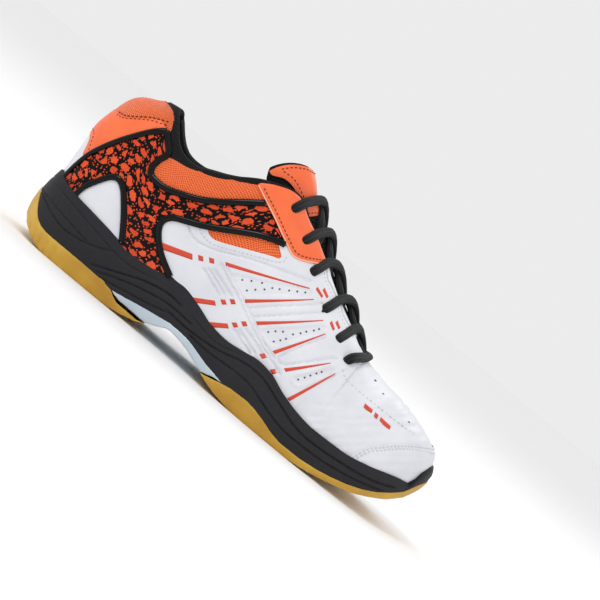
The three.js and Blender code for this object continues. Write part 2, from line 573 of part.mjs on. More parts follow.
const bothEnds = (stations, first, last) => nudged(nudged(stations, first).reverse(), last).reverse();

add('heel_counter', fromManifold(sheet(bothEnds(aroundHeel(ribIndex(75) + 1), -GAP, -GAP), LOW_RISE,
  backingNear, backingFar)), STIFFENER);
add('collar_foam', fromManifold(sheet(aroundHeel(ribIndex(100) + 1), HIGH_RISE, backingNear,
  foamFar)), FOAM);
add('toe_puff', fromManifold(sheet(bothEnds(aroundToe(ribIndex(226)), GAP, GAP), RISE, backingNear,
  backingFar)), STIFFENER);
for (const side of [LATERAL, MEDIAL]) {
  const name = SIDE_NAME[side];
  const quarterRibs = onSide(side, ribIndex(75), ribIndex(226) + 1);
  const lowFoam = sheet(quarterRibs, MID_RISE, backingNear, backingFar);
  const collarRoom = prism([[60, 50], [100 + GAP, 50], [100 + GAP, 130], [60, 130]]);
  const keepClear = sheet(onSide(side, ribIndex(62), ribIndex(112) + 1), [0.5, 0.62, 0.74, 0.84],
    0, 12).intersect(collarRoom);
  add(`quarter_foam_${name}`, fromManifold(lowFoam.subtract(keepClear).subtract(laceRoom)), FOAM);
  add(`eyestay_stay_${name}`, fromManifold(sheet(onSide(side, ribIndex(112), THROAT_RIB + 1),
    STAY_RISE, backingNear, backingFar).subtract(laceRoom)), STIFFENER);
  add(`lining_${name}`, fromManifold(sheet(onSide(side, ribIndex(50), THROAT_RIB + 1), RISE,
    liningNear, liningFar).subtract(laceRoom)), BLACK_MESH);
}
add('heel_lining', fromManifold(sheet(bothEnds(aroundHeel(ribIndex(50) + 1), -GAP, -GAP), RISE,
  liningNear, liningFar)), BLACK_MESH);
add('vamp_lining', fromManifold(sheet(bothEnds(aroundToe(THROAT_RIB), GAP, GAP), RISE,
  liningNear, liningFar).subtract(laceRoom)), BLACK_MESH);

// ---------------------------------------------------------------- tongue
// t is the x of the tongue's centre line, q from -1 (lateral edge) to 1 (medial edge).
function tonguePoint(t, q, depth) {
  const slope = (tongueLine(t + 0.5) - tongueLine(t - 0.5));
  const size = Math.hypot(1, slope);
  const [nx, nz] = [-slope / size, 1 / size];
  const across = q * tongueHalf(t);
  const lean = 2 * tongueBend(t) * across;
  const drop = tongueBend(t) * across * across;
  const reach = depth / Math.hypot(1, lean);
  return [t - nx * (drop + reach), crestY(t) + across - lean * reach, tongueLine(t) - nz * (drop + reach)];
}
function tongueSheet(stations, across, near, far) {
  const rowsAt = (depth) => stations.map((t) => across.map((q) => (
    tonguePoint(t, q, typeof depth === 'function' ? depth(t) : depth))));
  return toManifold(thicken(rowsAt(near), rowsAt(far)));
}
const TONGUE_X = [119.5, 124, 130, 136, 145, 155, 170, 185, 195, 205, 212];
const TONGUE_Q = [-1, -0.8, -0.55, -0.28, 0, 0.28, 0.55, 0.8, 1];
const FACING_X = [120.5, 124, 128, 131.5];
const coverFar = 1.0;
const tongueFoamFar = (t) => coverFar + GAP + tongueFoam(t);
add('tongue_cover', fromManifold(tongueSheet(TONGUE_X, TONGUE_Q, 0, coverFar)), BLACK_MESH);
add('tongue_facing', fromManifold(tongueSheet(FACING_X, TONGUE_Q.slice(1, -1), -GAP - 1, -GAP)),
  ORANGE);
add('tongue_foam', fromManifold(tongueSheet(TONGUE_X, TONGUE_Q.slice(1, -1), coverFar + GAP,
  tongueFoamFar)), FOAM);
add('tongue_lining', fromManifold(tongueSheet(TONGUE_X, TONGUE_Q.slice(1, -1),
  (t) => tongueFoamFar(t) + GAP, (t) => tongueFoamFar(t) + GAP + 0.8)), BLACK_MESH);

// ---------------------------------------------------------------- origin under the middle
const box = new THREE.Box3().setFromObject(shoe);
const middle = box.getCenter(new THREE.Vector3());
shoe.children.forEach((mesh) => mesh.geometry.translate(-middle.x, -middle.y, -box.min.z));

export default shoe;
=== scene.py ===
"""Court shoe: the looks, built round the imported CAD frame.

Lengths are millimetres in the shoe's building coordinates (x from the heel's back to the toe's tip,
z from the ground, -y the lateral side) and become metres in the row frame when a mesh is made.
"""
import json
import math

import bmesh
import bpy
import numpy as np
from mathutils import Matrix, Vector, geometry, kdtree

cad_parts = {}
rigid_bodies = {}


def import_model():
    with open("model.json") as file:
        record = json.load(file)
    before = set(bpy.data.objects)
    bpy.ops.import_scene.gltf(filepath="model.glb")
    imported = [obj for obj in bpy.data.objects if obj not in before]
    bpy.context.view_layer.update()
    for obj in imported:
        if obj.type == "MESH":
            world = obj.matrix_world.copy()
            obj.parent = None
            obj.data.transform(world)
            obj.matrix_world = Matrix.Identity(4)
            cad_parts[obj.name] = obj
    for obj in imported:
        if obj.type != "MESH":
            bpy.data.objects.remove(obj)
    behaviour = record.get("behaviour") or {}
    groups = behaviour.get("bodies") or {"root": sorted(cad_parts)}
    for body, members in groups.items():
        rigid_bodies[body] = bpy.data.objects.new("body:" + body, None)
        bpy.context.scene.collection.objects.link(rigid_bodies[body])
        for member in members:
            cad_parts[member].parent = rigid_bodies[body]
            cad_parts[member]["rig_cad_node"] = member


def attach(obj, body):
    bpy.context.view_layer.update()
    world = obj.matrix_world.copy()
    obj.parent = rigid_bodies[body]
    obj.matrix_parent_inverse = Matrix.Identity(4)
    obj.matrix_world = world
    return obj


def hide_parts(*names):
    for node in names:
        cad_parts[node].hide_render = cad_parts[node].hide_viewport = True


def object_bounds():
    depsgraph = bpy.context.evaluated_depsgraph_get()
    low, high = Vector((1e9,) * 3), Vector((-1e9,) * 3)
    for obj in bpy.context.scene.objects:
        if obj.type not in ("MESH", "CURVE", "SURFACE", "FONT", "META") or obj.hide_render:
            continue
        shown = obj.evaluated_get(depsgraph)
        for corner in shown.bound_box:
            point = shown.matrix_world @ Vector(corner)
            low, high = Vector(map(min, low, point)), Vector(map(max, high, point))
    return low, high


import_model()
CAD_LOW, CAD_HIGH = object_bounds()
MM = 0.001
LATERAL, MEDIAL = -1, 1
SIDE_NAME = {LATERAL: "lateral", MEDIAL: "medial"}


# ---------------------------------------- smooth curves
class Curve:
    """A smooth curve through points (x, value) that never overshoots between them."""

    def __init__(self, *points):
        self.x = np.array([p[0] for p in points], float)
        self.y = np.array([p[1] for p in points], float)
        slope = np.diff(self.y) / np.diff(self.x)
        product = slope[:-1] * slope[1:]
        total = np.where(product > 0, slope[:-1] + slope[1:], 1)
        inner = np.where(product > 0, 2 * product / total, 0)
        self.t = np.concatenate([[slope[0]], inner, [slope[-1]]])

    def __call__(self, x):
        x = np.clip(np.asarray(x, float), self.x[0], self.x[-1])
        i = np.clip(np.searchsorted(self.x, x) - 1, 0, len(self.x) - 2)
        h = self.x[i + 1] - self.x[i]
        t = (x - self.x[i]) / h
        a = self.y[i] * (1 + 2 * t) * (1 - t) ** 2 + self.y[i + 1] * t * t * (3 - 2 * t)
        return a + h * (self.t[i] * t * (1 - t) ** 2 - self.t[i + 1] * t * t * (1 - t))


def mix(a, b, t):
    return a + (b - a) * t


def smoothstep(x, low, high):
    t = np.clip((np.asarray(x, float) - low) / (high - low), 0, 1)
    return t * t * (3 - 2 * t)


# ---------------------------------------- the shoe's shape, as in the CAD
GAP = 0.3
OUTER = 1.4
BACKING = 1.2
LINING = 1.0
COLLAR_PAD = 4.5
WALL = 4.5
HEEL_X = 38
HEEL_ROUND = 2.2
TOE_X, TOE_Y, TOE_REACH, TOE_Z, TOE_FALL = 238, 4, 52, 66.3, 0.19
TOE_ROUND = {LATERAL: 1.85, MEDIAL: 2.1}
THROAT_END = 213
EYELETS = [(124.5, 112.5), (141.5, 102), (157, 91.7), (176.5, 79.5), (193.7, 71), (206, 65.2)]
LACE_R = 1.9

outline_half = {
    LATERAL: Curve((38, 37), (65, 38), (90, 37), (115, 39), (140, 44), (165, 49.5), (190, 53),
                   (212, 53.5), (238, 49)),
    MEDIAL: Curve((38, 36), (65, 35), (90, 33), (115, 32.5), (140, 35.5), (165, 42), (190, 49),
                  (212, 52), (238, 50)),
}
footbed = Curve((0, 25), (40, 24), (90, 22.5), (112, 21.5), (140, 18), (180, 14), (215, 12.5),
                (240, 15), (255, 18.5), (265, 22), (275, 27), (285, 33), (290, 36))
midsole_top = Curve((0, 40), (4, 44), (9, 41), (20, 39), (35, 37.5), (58, 34.5), (65, 32.5),
                    (72, 33.5), (85, 36), (96, 38.5), (103, 38.3), (118, 35), (132, 31), (143, 30),
                    (155, 31.5), (166, 33.3), (175, 32.5), (190, 27.5), (205, 24), (215, 23),
                    (235, 23.3), (255, 26.5), (265, 29), (275, 31), (281.5, 31.5), (284, 41),
                    (287.5, 47), (290, 47))
toe_spring = Curve((212, -0.5), (232, 1), (243, 4), (255, 7), (265, 11), (275, 16), (283, 22.5),
                   (288, 30.5), (290, 37))
top_line = Curve((27, 115), (33, 115.5), (38, 112), (45, 104), (50, 99.5), (55, 97), (60, 96.3),
                 (66, 96.7), (72, 99), (80, 102.5), (88, 107), (95, 112), (104, 117), (113, 121),
                 (120, 122.5), (126, 121.5), (137, 114.5), (146, 110.5), (160, 101.5), (168, 96),
                 (180, 89), (198, 80), (207, 75), (215, 71), (226, 68.6), (238, 66.3))
top_half = Curve((38, 20), (50, 26), (60, 28.5), (75, 30), (90, 29.5), (105, 27), (115, 23.5),
                 (125, 19.5), (135, 16.5), (150, 14.5), (170, 13), (190, 12), (205, 10.5),
                 (THROAT_END, 7))
crest_y = Curve((95, 0), (150, 1.5), (215, 3), (238, 4))
roundness = Curve((38, 0.15), (100, 0.2), (125, 0.5), (170, 0.6), (200, 0.8), (215, 1))
bulge = Curve((38, 2), (60, 3), (120, 5), (170, 3), (205, 0))
heel_side = Curve((0, 1), (0.25, 1.02), (0.4, 1.05), (0.55, 1.09), (0.7, 1.0), (0.8, 0.88),
                  (0.86, 0.77), (0.905, 0.6), (0.968, 0.14), (1, 0))
tongue_line = Curve((119, 137.3), (124, 133), (130, 127), (136, 121.5), (145, 114.5), (155, 107.5),
                    (170, 96), (185, 87.5), (195, 82), (205, 73), (213, 64.5))
tongue_half = Curve((119, 20), (136, 21), (185, 22), (213, 20))
tongue_bend = Curve((119, 0.064), (136, 0.058), (170, 0.05), (195, 0.046), (213, 0.03))
tongue_foam = Curve((119, 6), (150, 4.5), (190, 2.5), (213, 1.6))

SHIFT = np.array([CAD_LOW[0] / MM, (outline_half[LATERAL](212) - outline_half[MEDIAL](212)) / 2, 0])


def super_point(angle, exponent):
    power = 2 / np.asarray(exponent, float)
    return np.abs(np.cos(angle)) ** power, np.abs(np.sin(angle)) ** power


def plan_x(u):
    """x of the outline's pivot line at station u: up to 1 round the heel, 2 along, 3 round the toe."""
    return HEEL_X + (TOE_X - HEEL_X) * np.clip(u - 1, 0, 1)


def outline_point(side, u, inset):
    """The sole's outline at station u, moved inward by inset."""
    u = np.asarray(u, float)
    x = plan_x(u)
    y = side * (outline_half[side](x) - inset)
    along, across = super_point(u * math.pi / 2, HEEL_ROUND)
    heel = u < 1
    x = np.where(heel, HEEL_X - (HEEL_X - inset) * along, x)
    y = np.where(heel, side * (outline_half[side](HEEL_X) - inset) * across, y)
    along, across = super_point((3 - u) * math.pi / 2, TOE_ROUND[side])
    toe = u > 2
    half = outline_half[side](TOE_X) - side * TOE_Y
    x = np.where(toe, TOE_X + (TOE_REACH - inset) * along, x)
    y = np.where(toe, TOE_Y + side * (half - inset) * across, y)
    return x, y


def rib_top(side, u):
    u = np.asarray(u, float)
    x = plan_x(u)
    half = np.where(x > THROAT_END, 0, top_half(x))
    y = crest_y(x) + side * half
    z = top_line(x)
    heel = u < 1
    angle = u * math.pi / 2
    hx = HEEL_X - 11 * np.cos(angle)
    x = np.where(heel, hx, x)
    y = np.where(heel, side * top_half(HEEL_X) * np.sin(angle), y)
    z = np.where(heel, top_line(hx), z)
    toe = u > 2
    return np.where(toe, TOE_X, x), np.where(toe, TOE_Y, y), np.where(toe, TOE_Z, z)


def rib_profile(u, reach, low, high, v):
    back = np.where(u < 1, np.cos(u * math.pi / 2) ** 2, 0)
    front = np.where(u > 2, np.cos((3 - u) * math.pi / 2) ** 2, 0)
    x = plan_x(u)
    shrink, grow = super_point(v * math.pi / 2, mix(2.35, 5, front))
    k = roundness(x)
    out = mix(mix(1 - v, shrink, k), heel_side(v), back)
    up = mix(mix(v, grow, k), v, back)
    r = reach * out + bulge(x) * (1 - back) * np.sin(math.pi * v)
    top = high - TOE_FALL * r * front
    return r, mix(low, top, up)


def upper(side, u, v, depth=0.0):
    """Points of the upper at station u, rise v and depth inward, as an array of rows (x, y, z)."""
    u, v, depth = np.broadcast_arrays(*(np.asarray(a, float) for a in (u, v, depth)))
    bx, by = outline_point(side, u, WALL)
    tx, ty, tz = rib_top(side, u)
    fan = (u < 1) | (u > 2)
    reach = np.where(fan, np.hypot(bx - tx, by - ty), side * (by - ty))
    low = footbed(bx) + GAP
    step = 0.004
    r, z = rib_profile(u, reach, low, tz, v)
    r0, z0 = rib_profile(u, reach, low, tz, np.maximum(0, v - step))
    r1, z1 = rib_profile(u, reach, low, tz, np.minimum(1, v + step))
    size = np.hypot(z1 - z0, r0 - r1) + 1e-9
    crest = (v > 0.9999) & ((u > 2) | (plan_x(u) > THROAT_END))
    nr = np.where(crest, 0, (z1 - z0) / size)
    nz = np.where(crest, 1, (r0 - r1) / size)
    safe = np.where(np.abs(reach) < 1e-6, 1, reach)
    dx = np.where(fan, (bx - tx) / safe, 0)
    dy = np.where(fan, (by - ty) / safe, side)
    out = r - depth * nr
    return np.stack([tx + dx * out, ty + dy * out, z - depth * nz], axis=-1)


# Flat coordinates of the upper, in millimetres: the stations' lengths along, the rise up.
HEEL_SPAN, SIDE_SPAN, TOE_SPAN, RISE_SPAN = 58, 200, 84, 92


def to_flat(u, v):
    u = np.asarray(u, float)
    along = np.where(u < 1, u * HEEL_SPAN, HEEL_SPAN + (np.clip(u, 1, 2) - 1) * SIDE_SPAN)
    along = np.where(u > 2, HEEL_SPAN + SIDE_SPAN + (u - 2) * TOE_SPAN, along)
    return np.stack([along, np.asarray(v, float) * RISE_SPAN], axis=-1)


def from_flat(p):
    a = p[..., 0]
    u = np.where(a < HEEL_SPAN, a / HEEL_SPAN, 1 + (a - HEEL_SPAN) / SIDE_SPAN)
    u = np.where(a > HEEL_SPAN + SIDE_SPAN, 2 + (a - HEEL_SPAN - SIDE_SPAN) / TOE_SPAN, u)
    return np.clip(u, 0, 3), np.clip(p[..., 1] / RISE_SPAN, 0, 1)


class SideMap:
    """Finds the station and rise of the upper's points from their side view (x, z)."""

    def __init__(self, side):
        self.side = side
        grid_u, grid_v = np.meshgrid(np.linspace(0, 3, 400), np.linspace(0, 1, 110), indexing="ij")
        self.u, self.v = grid_u.ravel(), grid_v.ravel()
        points = upper(side, self.u, self.v)
        self.tree = kdtree.KDTree(len(points))
        for i, p in enumerate(points):
            self.tree.insert((p[0], p[2], 0), i)
        self.tree.balance()

    def rise_at(self, station, z):
        """The rise at which a station's profile has height z."""
        rise = np.linspace(0, 1, 300)
        return np.interp(z, upper(self.side, station, rise)[:, 2], rise)

    def __call__(self, points):
        """The stations and rises; a point beyond the heel's or the toe's outline goes to its seam."""
        near = [self.tree.find((x, z, 0))[1] for x, z in points]
        u, v = self.u[near], self.v[near]
        goal = np.asarray(points, float)
        for _ in range(3):
            here = upper(self.side, u, v)[:, [0, 2]]
            du = (upper(self.side, u + 1e-4, v)[:, [0, 2]] - here) / 1e-4
            dv = (upper(self.side, u, v + 1e-4)[:, [0, 2]] - here) / 1e-4
            det = du[:, 0] * dv[:, 1] - du[:, 1] * dv[:, 0]
            det = np.where(np.abs(det) < 1e2, np.inf, det)
            miss = goal - here
            step_u = (miss[:, 0] * dv[:, 1] - miss[:, 1] * dv[:, 0]) / det
            step_v = (du[:, 0] * miss[:, 1] - du[:, 1] * miss[:, 0]) / det
            u = np.clip(u + np.clip(step_u, -0.02, 0.02), 0, 3)
            v = np.clip(v + np.clip(step_v, -0.02, 0.02), 0, 1)
        for station, beyond in ((0, -1), (3, 1)):
            rise = self.rise_at(station, goal[:, 1])
            seam = upper(self.side, np.full_like(rise, station), rise)[:, 0]
            past = (goal[:, 0] - seam) * beyond > -0.25
            u, v = np.where(past, station, u), np.where(past, rise, v)
        return u, v


side_map = {side: SideMap(side) for side in (LATERAL, MEDIAL)}


# ---------------------------------------- outlines
def spline(points, step=1.2, closed=False, corners=()):
    """A smooth curve through the points, sampled about every step; corners keeps those points sharp."""
    points = [np.array(p, float) for p in points]
    n = len(points)
    spans = n if closed else n - 1
    result = []
    for i in range(spans):
        a, b = points[i], points[(i + 1) % n]
        before = points[(i - 1) % n] if (closed or i > 0) else a
        after = points[(i + 2) % n] if (closed or i + 2 < n) else b
        length = np.linalg.norm(b - a)
        tan_a = np.zeros_like(a) + (b - a if i in corners else (b - before) / 2)
        tan_b = b - a if (i + 1) % n in corners else (after - a) / 2
        limit = 1.2 * length
        tan_a *= min(1, limit / (np.linalg.norm(tan_a) + 1e-9))
        tan_b = tan_b * min(1, limit / (np.linalg.norm(tan_b) + 1e-9))
        count = max(1, int(round(length / step)))
        for k in range(count):
            t = k / count
            result.append((1 + 2 * t) * (1 - t) ** 2 * a + t * t * (3 - 2 * t) * b
                          + t * (1 - t) ** 2 * tan_a - t * t * (1 - t) * tan_b)
    if not closed:
        result.append(points[-1])
    return np.array(result)


def resampled(points, step):
    """The polyline's points spaced evenly, about every step, both ends kept."""
    points = np.asarray(points, float)
    run = run_length(points)
    count = max(2, int(round(run[-1] / step)) + 1)
    at = np.linspace(0, run[-1], count)
    return np.stack([np.interp(at, run, points[:, k]) for k in range(points.shape[1])], axis=-1)


def inside(points, polygon):
    """Which of the points lie in the polygon."""
    x, y = points[:, 0], points[:, 1]
    result = np.zeros(len(points), bool)
    a = polygon
    b = np.roll(polygon, -1, axis=0)
    for (x0, y0), (x1, y1) in zip(a, b):
        crosses = (y0 > y) != (y1 > y)
        at = x0 + (y - y0) * (x1 - x0) / (y1 - y0 if y1 != y0 else 1e-12)
        result ^= crosses & (x < at)
    return result


def edge_distance(points, polygon):
    """Distance from each point to the polygon's nearest edge."""
    best = np.full(len(points), np.inf)
    for a, b in zip(polygon, np.roll(polygon, -1, axis=0)):
        span = b - a
        length = max(span @ span, 1e-12)
        t = np.clip(((points - a) @ span) / length, 0, 1)
        best = np.minimum(best, np.linalg.norm(points - a - t[:, None] * span, axis=1))
    return best


# ---------------------------------------- making meshes
UV_UNIT = 10  # millimetres of a piece's flat layout in one unit of its UV map
WELD, SLIVER = 0.00002, 0.000002  # metres


def linked(name, data):
    """An object for the data, linked to the scene."""
    obj = bpy.data.objects.new(name, data)
    bpy.context.collection.objects.link(obj)
    return obj


def new_object(name, points, faces, material, uv):
    """A mesh object from points and flat layout (uv) in building millimetres."""
    mesh = bpy.data.meshes.new(name)
    places = [tuple(p) for p in (points + SHIFT) * MM]
    mesh.from_pydata(places, [], [tuple(int(i) for i in f) for f in faces])
    layer = mesh.uv_layers.new(name="UVMap")
    loops = np.zeros(len(mesh.loops), int)
    mesh.loops.foreach_get("vertex_index", loops)
    layer.data.foreach_set("uv", (uv[loops] / UV_UNIT).ravel())
    mesh.materials.append(material)
    return linked(name, mesh)


def joined(name, parts, material, body="shoe", nodes=(), sharp=None):
    """One piece from several (points, faces, uv) parts, welded where they meet."""
    points, faces, uvs = [], [], []
    for part_points, part_faces, part_uv in parts:
        start = sum(len(p) for p in points)
        points.append(np.asarray(part_points, float))
        uvs.append(np.asarray(part_uv, float))
        faces += [[i + start for i in f] for f in part_faces]
    obj = new_object(name, np.concatenate(points), faces, material, np.concatenate(uvs))
    work = bmesh.new()
    work.from_mesh(obj.data)
    bmesh.ops.remove_doubles(work, verts=work.verts, dist=WELD)
    bmesh.ops.dissolve_degenerate(work, edges=work.edges, dist=SLIVER)
    bmesh.ops.recalc_face_normals(work, faces=work.faces)
    work.to_mesh(obj.data)
    work.free()
    obj.data.shade_smooth()
    if sharp is not None:
        obj.data.set_sharp_from_angle(angle=math.radians(sharp))
    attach(obj, body)
    if nodes:
        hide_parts(*nodes)
    return obj


def grid_faces(rows, width, wrap=False):
    """The quads between rows of width points each; wrap closes every row on itself."""
    faces = []
    for start in range(0, (rows - 1) * width, width):
        for k in range(width if wrap else width - 1):
            a, b = start + k, start + (k + 1) % width
            faces.append((a, b, b + width, a + width))
    return faces


def sheet(rows):
    """Rows of points as a part whose flat layout is its plan."""
    points = np.concatenate(rows)
    return points, grid_faces(len(rows), len(rows[0])), points[:, :2].copy()


def run_length(path):
    """The length along a path up to each of its points."""
    return np.concatenate([[0], np.cumsum(np.linalg.norm(np.diff(path, axis=0), axis=1))])


TUBE_GIRTH = 12.0  # millimetres of the flat layout round a tube


def tube(path, radii, sides, flat=1.0, ups=None):
    """A swept tube: (points, faces, uv). flat squeezes it along its up direction."""
    n = len(path)
    tangent = np.gradient(path, axis=0)
    tangent /= np.linalg.norm(tangent, axis=1)[:, None] + 1e-12
    radii = np.broadcast_to(np.asarray(radii, float), (n,))
    up = np.array([0.0, 0.0, 1.0]) if abs(tangent[0][2]) < 0.9 else np.array([1.0, 0.0, 0.0])
    rings = []
    for i in range(n):
        if ups is not None:
            up = ups[i]
        up = up - tangent[i] * (up @ tangent[i])
        up = up / (np.linalg.norm(up) + 1e-12)
        side = np.cross(tangent[i], up)
        angle = np.linspace(0, 2 * math.pi, sides, endpoint=False)
        rings.append(path[i] + radii[i] * (np.cos(angle)[:, None] * side
                                           + flat * np.sin(angle)[:, None] * up))
    faces = grid_faces(n, sides, wrap=True)
    faces += [tuple(range(sides))[::-1], tuple(range((n - 1) * sides, n * sides))]
    around = np.arange(sides) * TUBE_GIRTH / sides
    uv = np.stack([np.repeat(run_length(path), sides), np.tile(around, n)], axis=-1)
    return np.concatenate(rings), faces, uv


def surface_path(side, points, lift, step=1.0):
    """Side-view points carried on to the upper: (positions, outward normals)."""
    line = resampled(spline(points, 1.0), step)
    u, v = side_map[side](line)
    low, high = upper(side, u, v, 0.0), upper(side, u, v, -1.0)
    normal = high - low
    normal /= np.linalg.norm(normal, axis=1)[:, None] + 1e-9
    return low + normal * lift, normal


# ---------------------------------------- panels of the upper
FULL_SPAN = HEEL_SPAN + SIDE_SPAN + TOE_SPAN
ON_SEAM = 0.4  # flat millimetres within which a border lies on a seam of the two halves
SKIRT, EDGE_SHARE, CROWN_REACH = 1.3, 0.35, 9


def panel_part(side, outline, spacing, lift, crown, round_off, relief=None, corners=()):
    """A panel over a side-view outline: raised by lift, crowned, its edge rounded down to a skirt."""
    line = spline(outline, spacing, True, corners)
    line = resampled(np.vstack([line, line[:1]]), spacing)[:-1]
    border = to_flat(*side_map[side](line))
    border = on_seams(border, spacing)
    keep = np.linalg.norm(border - np.roll(border, 1, axis=0), axis=1) > spacing * 0.2
    border = border[keep]
    low, high = border.min(axis=0), border.max(axis=0)
    rows = []
    height = spacing * math.sqrt(3) / 2
    for j, y in enumerate(np.arange(low[1] + height / 2, high[1], height)):
        x = np.arange(low[0] + spacing * (0.25 + 0.5 * (j % 2)), high[0], spacing)
        rows.append(np.stack([x, np.full_like(x, y)], axis=-1))
    grid = np.concatenate(rows)
    grid = grid[inside(grid, border)]
    grid = grid[edge_distance(grid, border) > spacing * 0.45]
    flat = np.concatenate([border, grid])
    ring = list(range(len(border)))
    made = geometry.delaunay_2d_cdt([Vector(p) for p in flat], [], [ring], 1, 1e-5)
    flat = np.array([(p.x, p.y) for p in made[0]])
    faces = [tuple(f) for f in made[2]]
    u, v = from_flat(flat)
    free = to_flat(*from_flat(border))
    open_edge = []
    for a, b in zip(free, np.roll(free, -1, axis=0)):
        on_seam = max(a[0], b[0]) < ON_SEAM or min(a[1], b[1]) > RISE_SPAN - ON_SEAM
        if not on_seam and min(a[0], b[0]) <= FULL_SPAN - ON_SEAM:
            open_edge.append((a + b) / 2)
    reach = distance_to(flat, open_edge)
    rounded = 1 - (1 - np.clip(reach / round_off, 0, 1)) ** 2
    out = lift * (EDGE_SHARE + (1 - EDGE_SHARE) * np.sqrt(rounded))
    out += crown * smoothstep(reach, 0, CROWN_REACH)
    if relief is not None:
        place = upper(side, u, v)
        out = out + relief(place[:, 0], place[:, 2], reach)
    points = upper(side, u, v, -out)
    edges = dict.fromkeys(pair for f in faces for pair in zip(f, f[1:] + f[:1]))
    rim = [(a, b) for a, b in edges if (b, a) not in edges]
    rim = [(a, b) for a, b in rim if reach[a] < spacing * 2 or reach[b] < spacing * 2]
    count = len(points)
    below = sorted({i for edge in rim for i in edge})
    index = {i: count + k for k, i in enumerate(below)}
    skirt_points = upper(side, u[below], v[below], -out[below] + SKIRT + lift * EDGE_SHARE)
    faces += [(b, a, index[a], index[b]) for a, b in rim]
    uv = np.concatenate([flat, flat[below]])
    return np.concatenate([points, skirt_points]), faces, uv


def on_seams(border, spacing):
    """Border points on a seam of the two halves, moved to places that both halves share."""
    border = border.copy()
    for axis, place, other in ((0, 0, 1), (0, FULL_SPAN, 1), (1, RISE_SPAN, 0)):
        near = np.abs(border[:, axis] - place) < ON_SEAM
        inner = near & np.roll(near, 1) & np.roll(near, -1)
        border[near, axis] = place
        border[inner, other] = np.round(border[inner, other] / spacing) * spacing
    return border


def distance_to(points, targets):
    """Distance from each flat point to the nearest of the targets."""
    tree = kdtree.KDTree(len(targets))
    for i, p in enumerate(targets):
        tree.insert((p[0], p[1], 0), i)
    tree.balance()
    return np.array([tree.find((p[0], p[1], 0))[2] for p in points])


def groove(x, z, line, width, depth):
    """Depth of a pressed line at side-view points: negative along the line, zero away from it."""
    best = np.full(len(x), np.inf)
    points = np.stack([x, z], axis=-1)
    for a, b in zip(line[:-1], line[1:]):
        a, b = np.asarray(a, float), np.asarray(b, float)
        span = b - a
        t = np.clip(((points - a) @ span) / (span @ span), 0, 1)
        best = np.minimum(best, np.linalg.norm(points - a - t[:, None] * span, axis=1))
    return -depth * np.exp(-(best / width) ** 2)


def stitches(side, line, lift, length, pause, radius):
    """A row of sewn stitches along a side-view line, as tube parts."""
    path, normal = surface_path(side, line, lift, 0.5)
    return stitch_row(path, normal, length, pause, radius)


STITCH_RISE = np.array([-0.28, -0.02, 0.08, -0.02, -0.28])  # a stitch's height, from end to end


def stitch_row(path, normal, length, pause, radius):
    """A row of sewn stitches along a path in space, as tube parts."""
    run = run_length(path)
    parts = []
    start = pause / 2
    while start + length < run[-1]:
        at = np.linspace(start, start + length, len(STITCH_RISE))
        points = np.stack([np.interp(at, run, path[:, k]) for k in range(3)], axis=-1)
        up = np.stack([np.interp(at, run, normal[:, k]) for k in range(3)], axis=-1)
        radii = [radius * 0.5, radius, radius, radius, radius * 0.5]
        parts.append(tube(points + up * STITCH_RISE[:, None], radii, 5))
        start += length + pause
    return parts


# ---------------------------------------- materials
def srgb(r, g, b):
    """A linear colour from 0 to 255 sRGB values."""
    def linear(c):
        c /= 255
        return c / 12.92 if c <= 0.04045 else ((c + 0.055) / 1.055) ** 2.4
    return (linear(r), linear(g), linear(b), 1)


BLACK, OPAQUE_WHITE = (0, 0, 0, 1), (1, 1, 1, 1)


class Look:
    """A node material with a few short calls for its nodes."""

    def __init__(self, name, roughness=0.5, metallic=0.0, specular=0.5):
        self.material = bpy.data.materials.new(name)
        self.material.use_nodes = True
        self.tree = self.material.node_tree
        self.shader = self.tree.nodes["Principled BSDF"]
        self.shader.inputs["Roughness"].default_value = roughness
        self.shader.inputs["Metallic"].default_value = metallic
        self.shader.inputs["Specular IOR Level"].default_value = specular

    def node(self, kind, inputs=None, **settings):
        made = self.tree.nodes.new("ShaderNode" + kind)
        for key, value in settings.items():
            setattr(made, key, value)
        for key, value in (inputs or {}).items():
            if isinstance(value, bpy.types.NodeSocket):
                self.tree.links.new(value, made.inputs[key])
            else:
                made.inputs[key].default_value = value
        return made

    def coordinates(self, uv=False):
        """Millimetre coordinates: of the piece's flat layout (uv) or of space."""
        source = self.node("TexCoord").outputs["UV" if uv else "Object"]
        size = UV_UNIT if uv else 1 / MM
        return self.node("Mapping", {"Vector": source, "Scale": [size] * 3}).outputs["Vector"]

    def math(self, operation, a, b=0.0):
        return self.node("Math", {0: a, 1: b}, operation=operation).outputs[0]

    def noise(self, vector, scale, detail=3.0):
        return self.node("TexNoise", {"Vector": vector, "Scale": scale, "Detail": detail}).outputs["Fac"]

    def ramp(self, factor, *stops):
        """Colours by position; two bare positions make a step from black up to white."""
        if isinstance(stops[0], float):
            stops = (stops[0], BLACK), (stops[1], OPAQUE_WHITE)
        made = self.node("ValToRGB", {"Fac": factor})
        points = made.color_ramp.elements
        points[0].position, points[0].color = stops[0]
        points[1].position, points[1].color = stops[-1]
        for position, color in stops[1:-1]:
            points.new(position).color = color
        return made.outputs["Color"]

    def mix_color(self, factor, a, b):
        made = self.node("Mix", data_type="RGBA")
        for socket, value in ((made.inputs[0], factor), (made.inputs[6], a), (made.inputs[7], b)):
            if isinstance(value, bpy.types.NodeSocket):
                self.tree.links.new(value, socket)
            else:
                socket.default_value = value
        return made.outputs[2]

    def set(self, socket, source):
        self.tree.links.new(source, self.shader.inputs[socket])

    def bump(self, height, distance, strength=1.0):
        made = self.node("Bump", {"Height": height, "Distance": distance * MM, "Strength": strength})
        self.set("Normal", made.outputs["Normal"])

    def steady(self, **values):
        for key, value in values.items():
            self.shader.inputs[key.replace("_", " ")].default_value = value


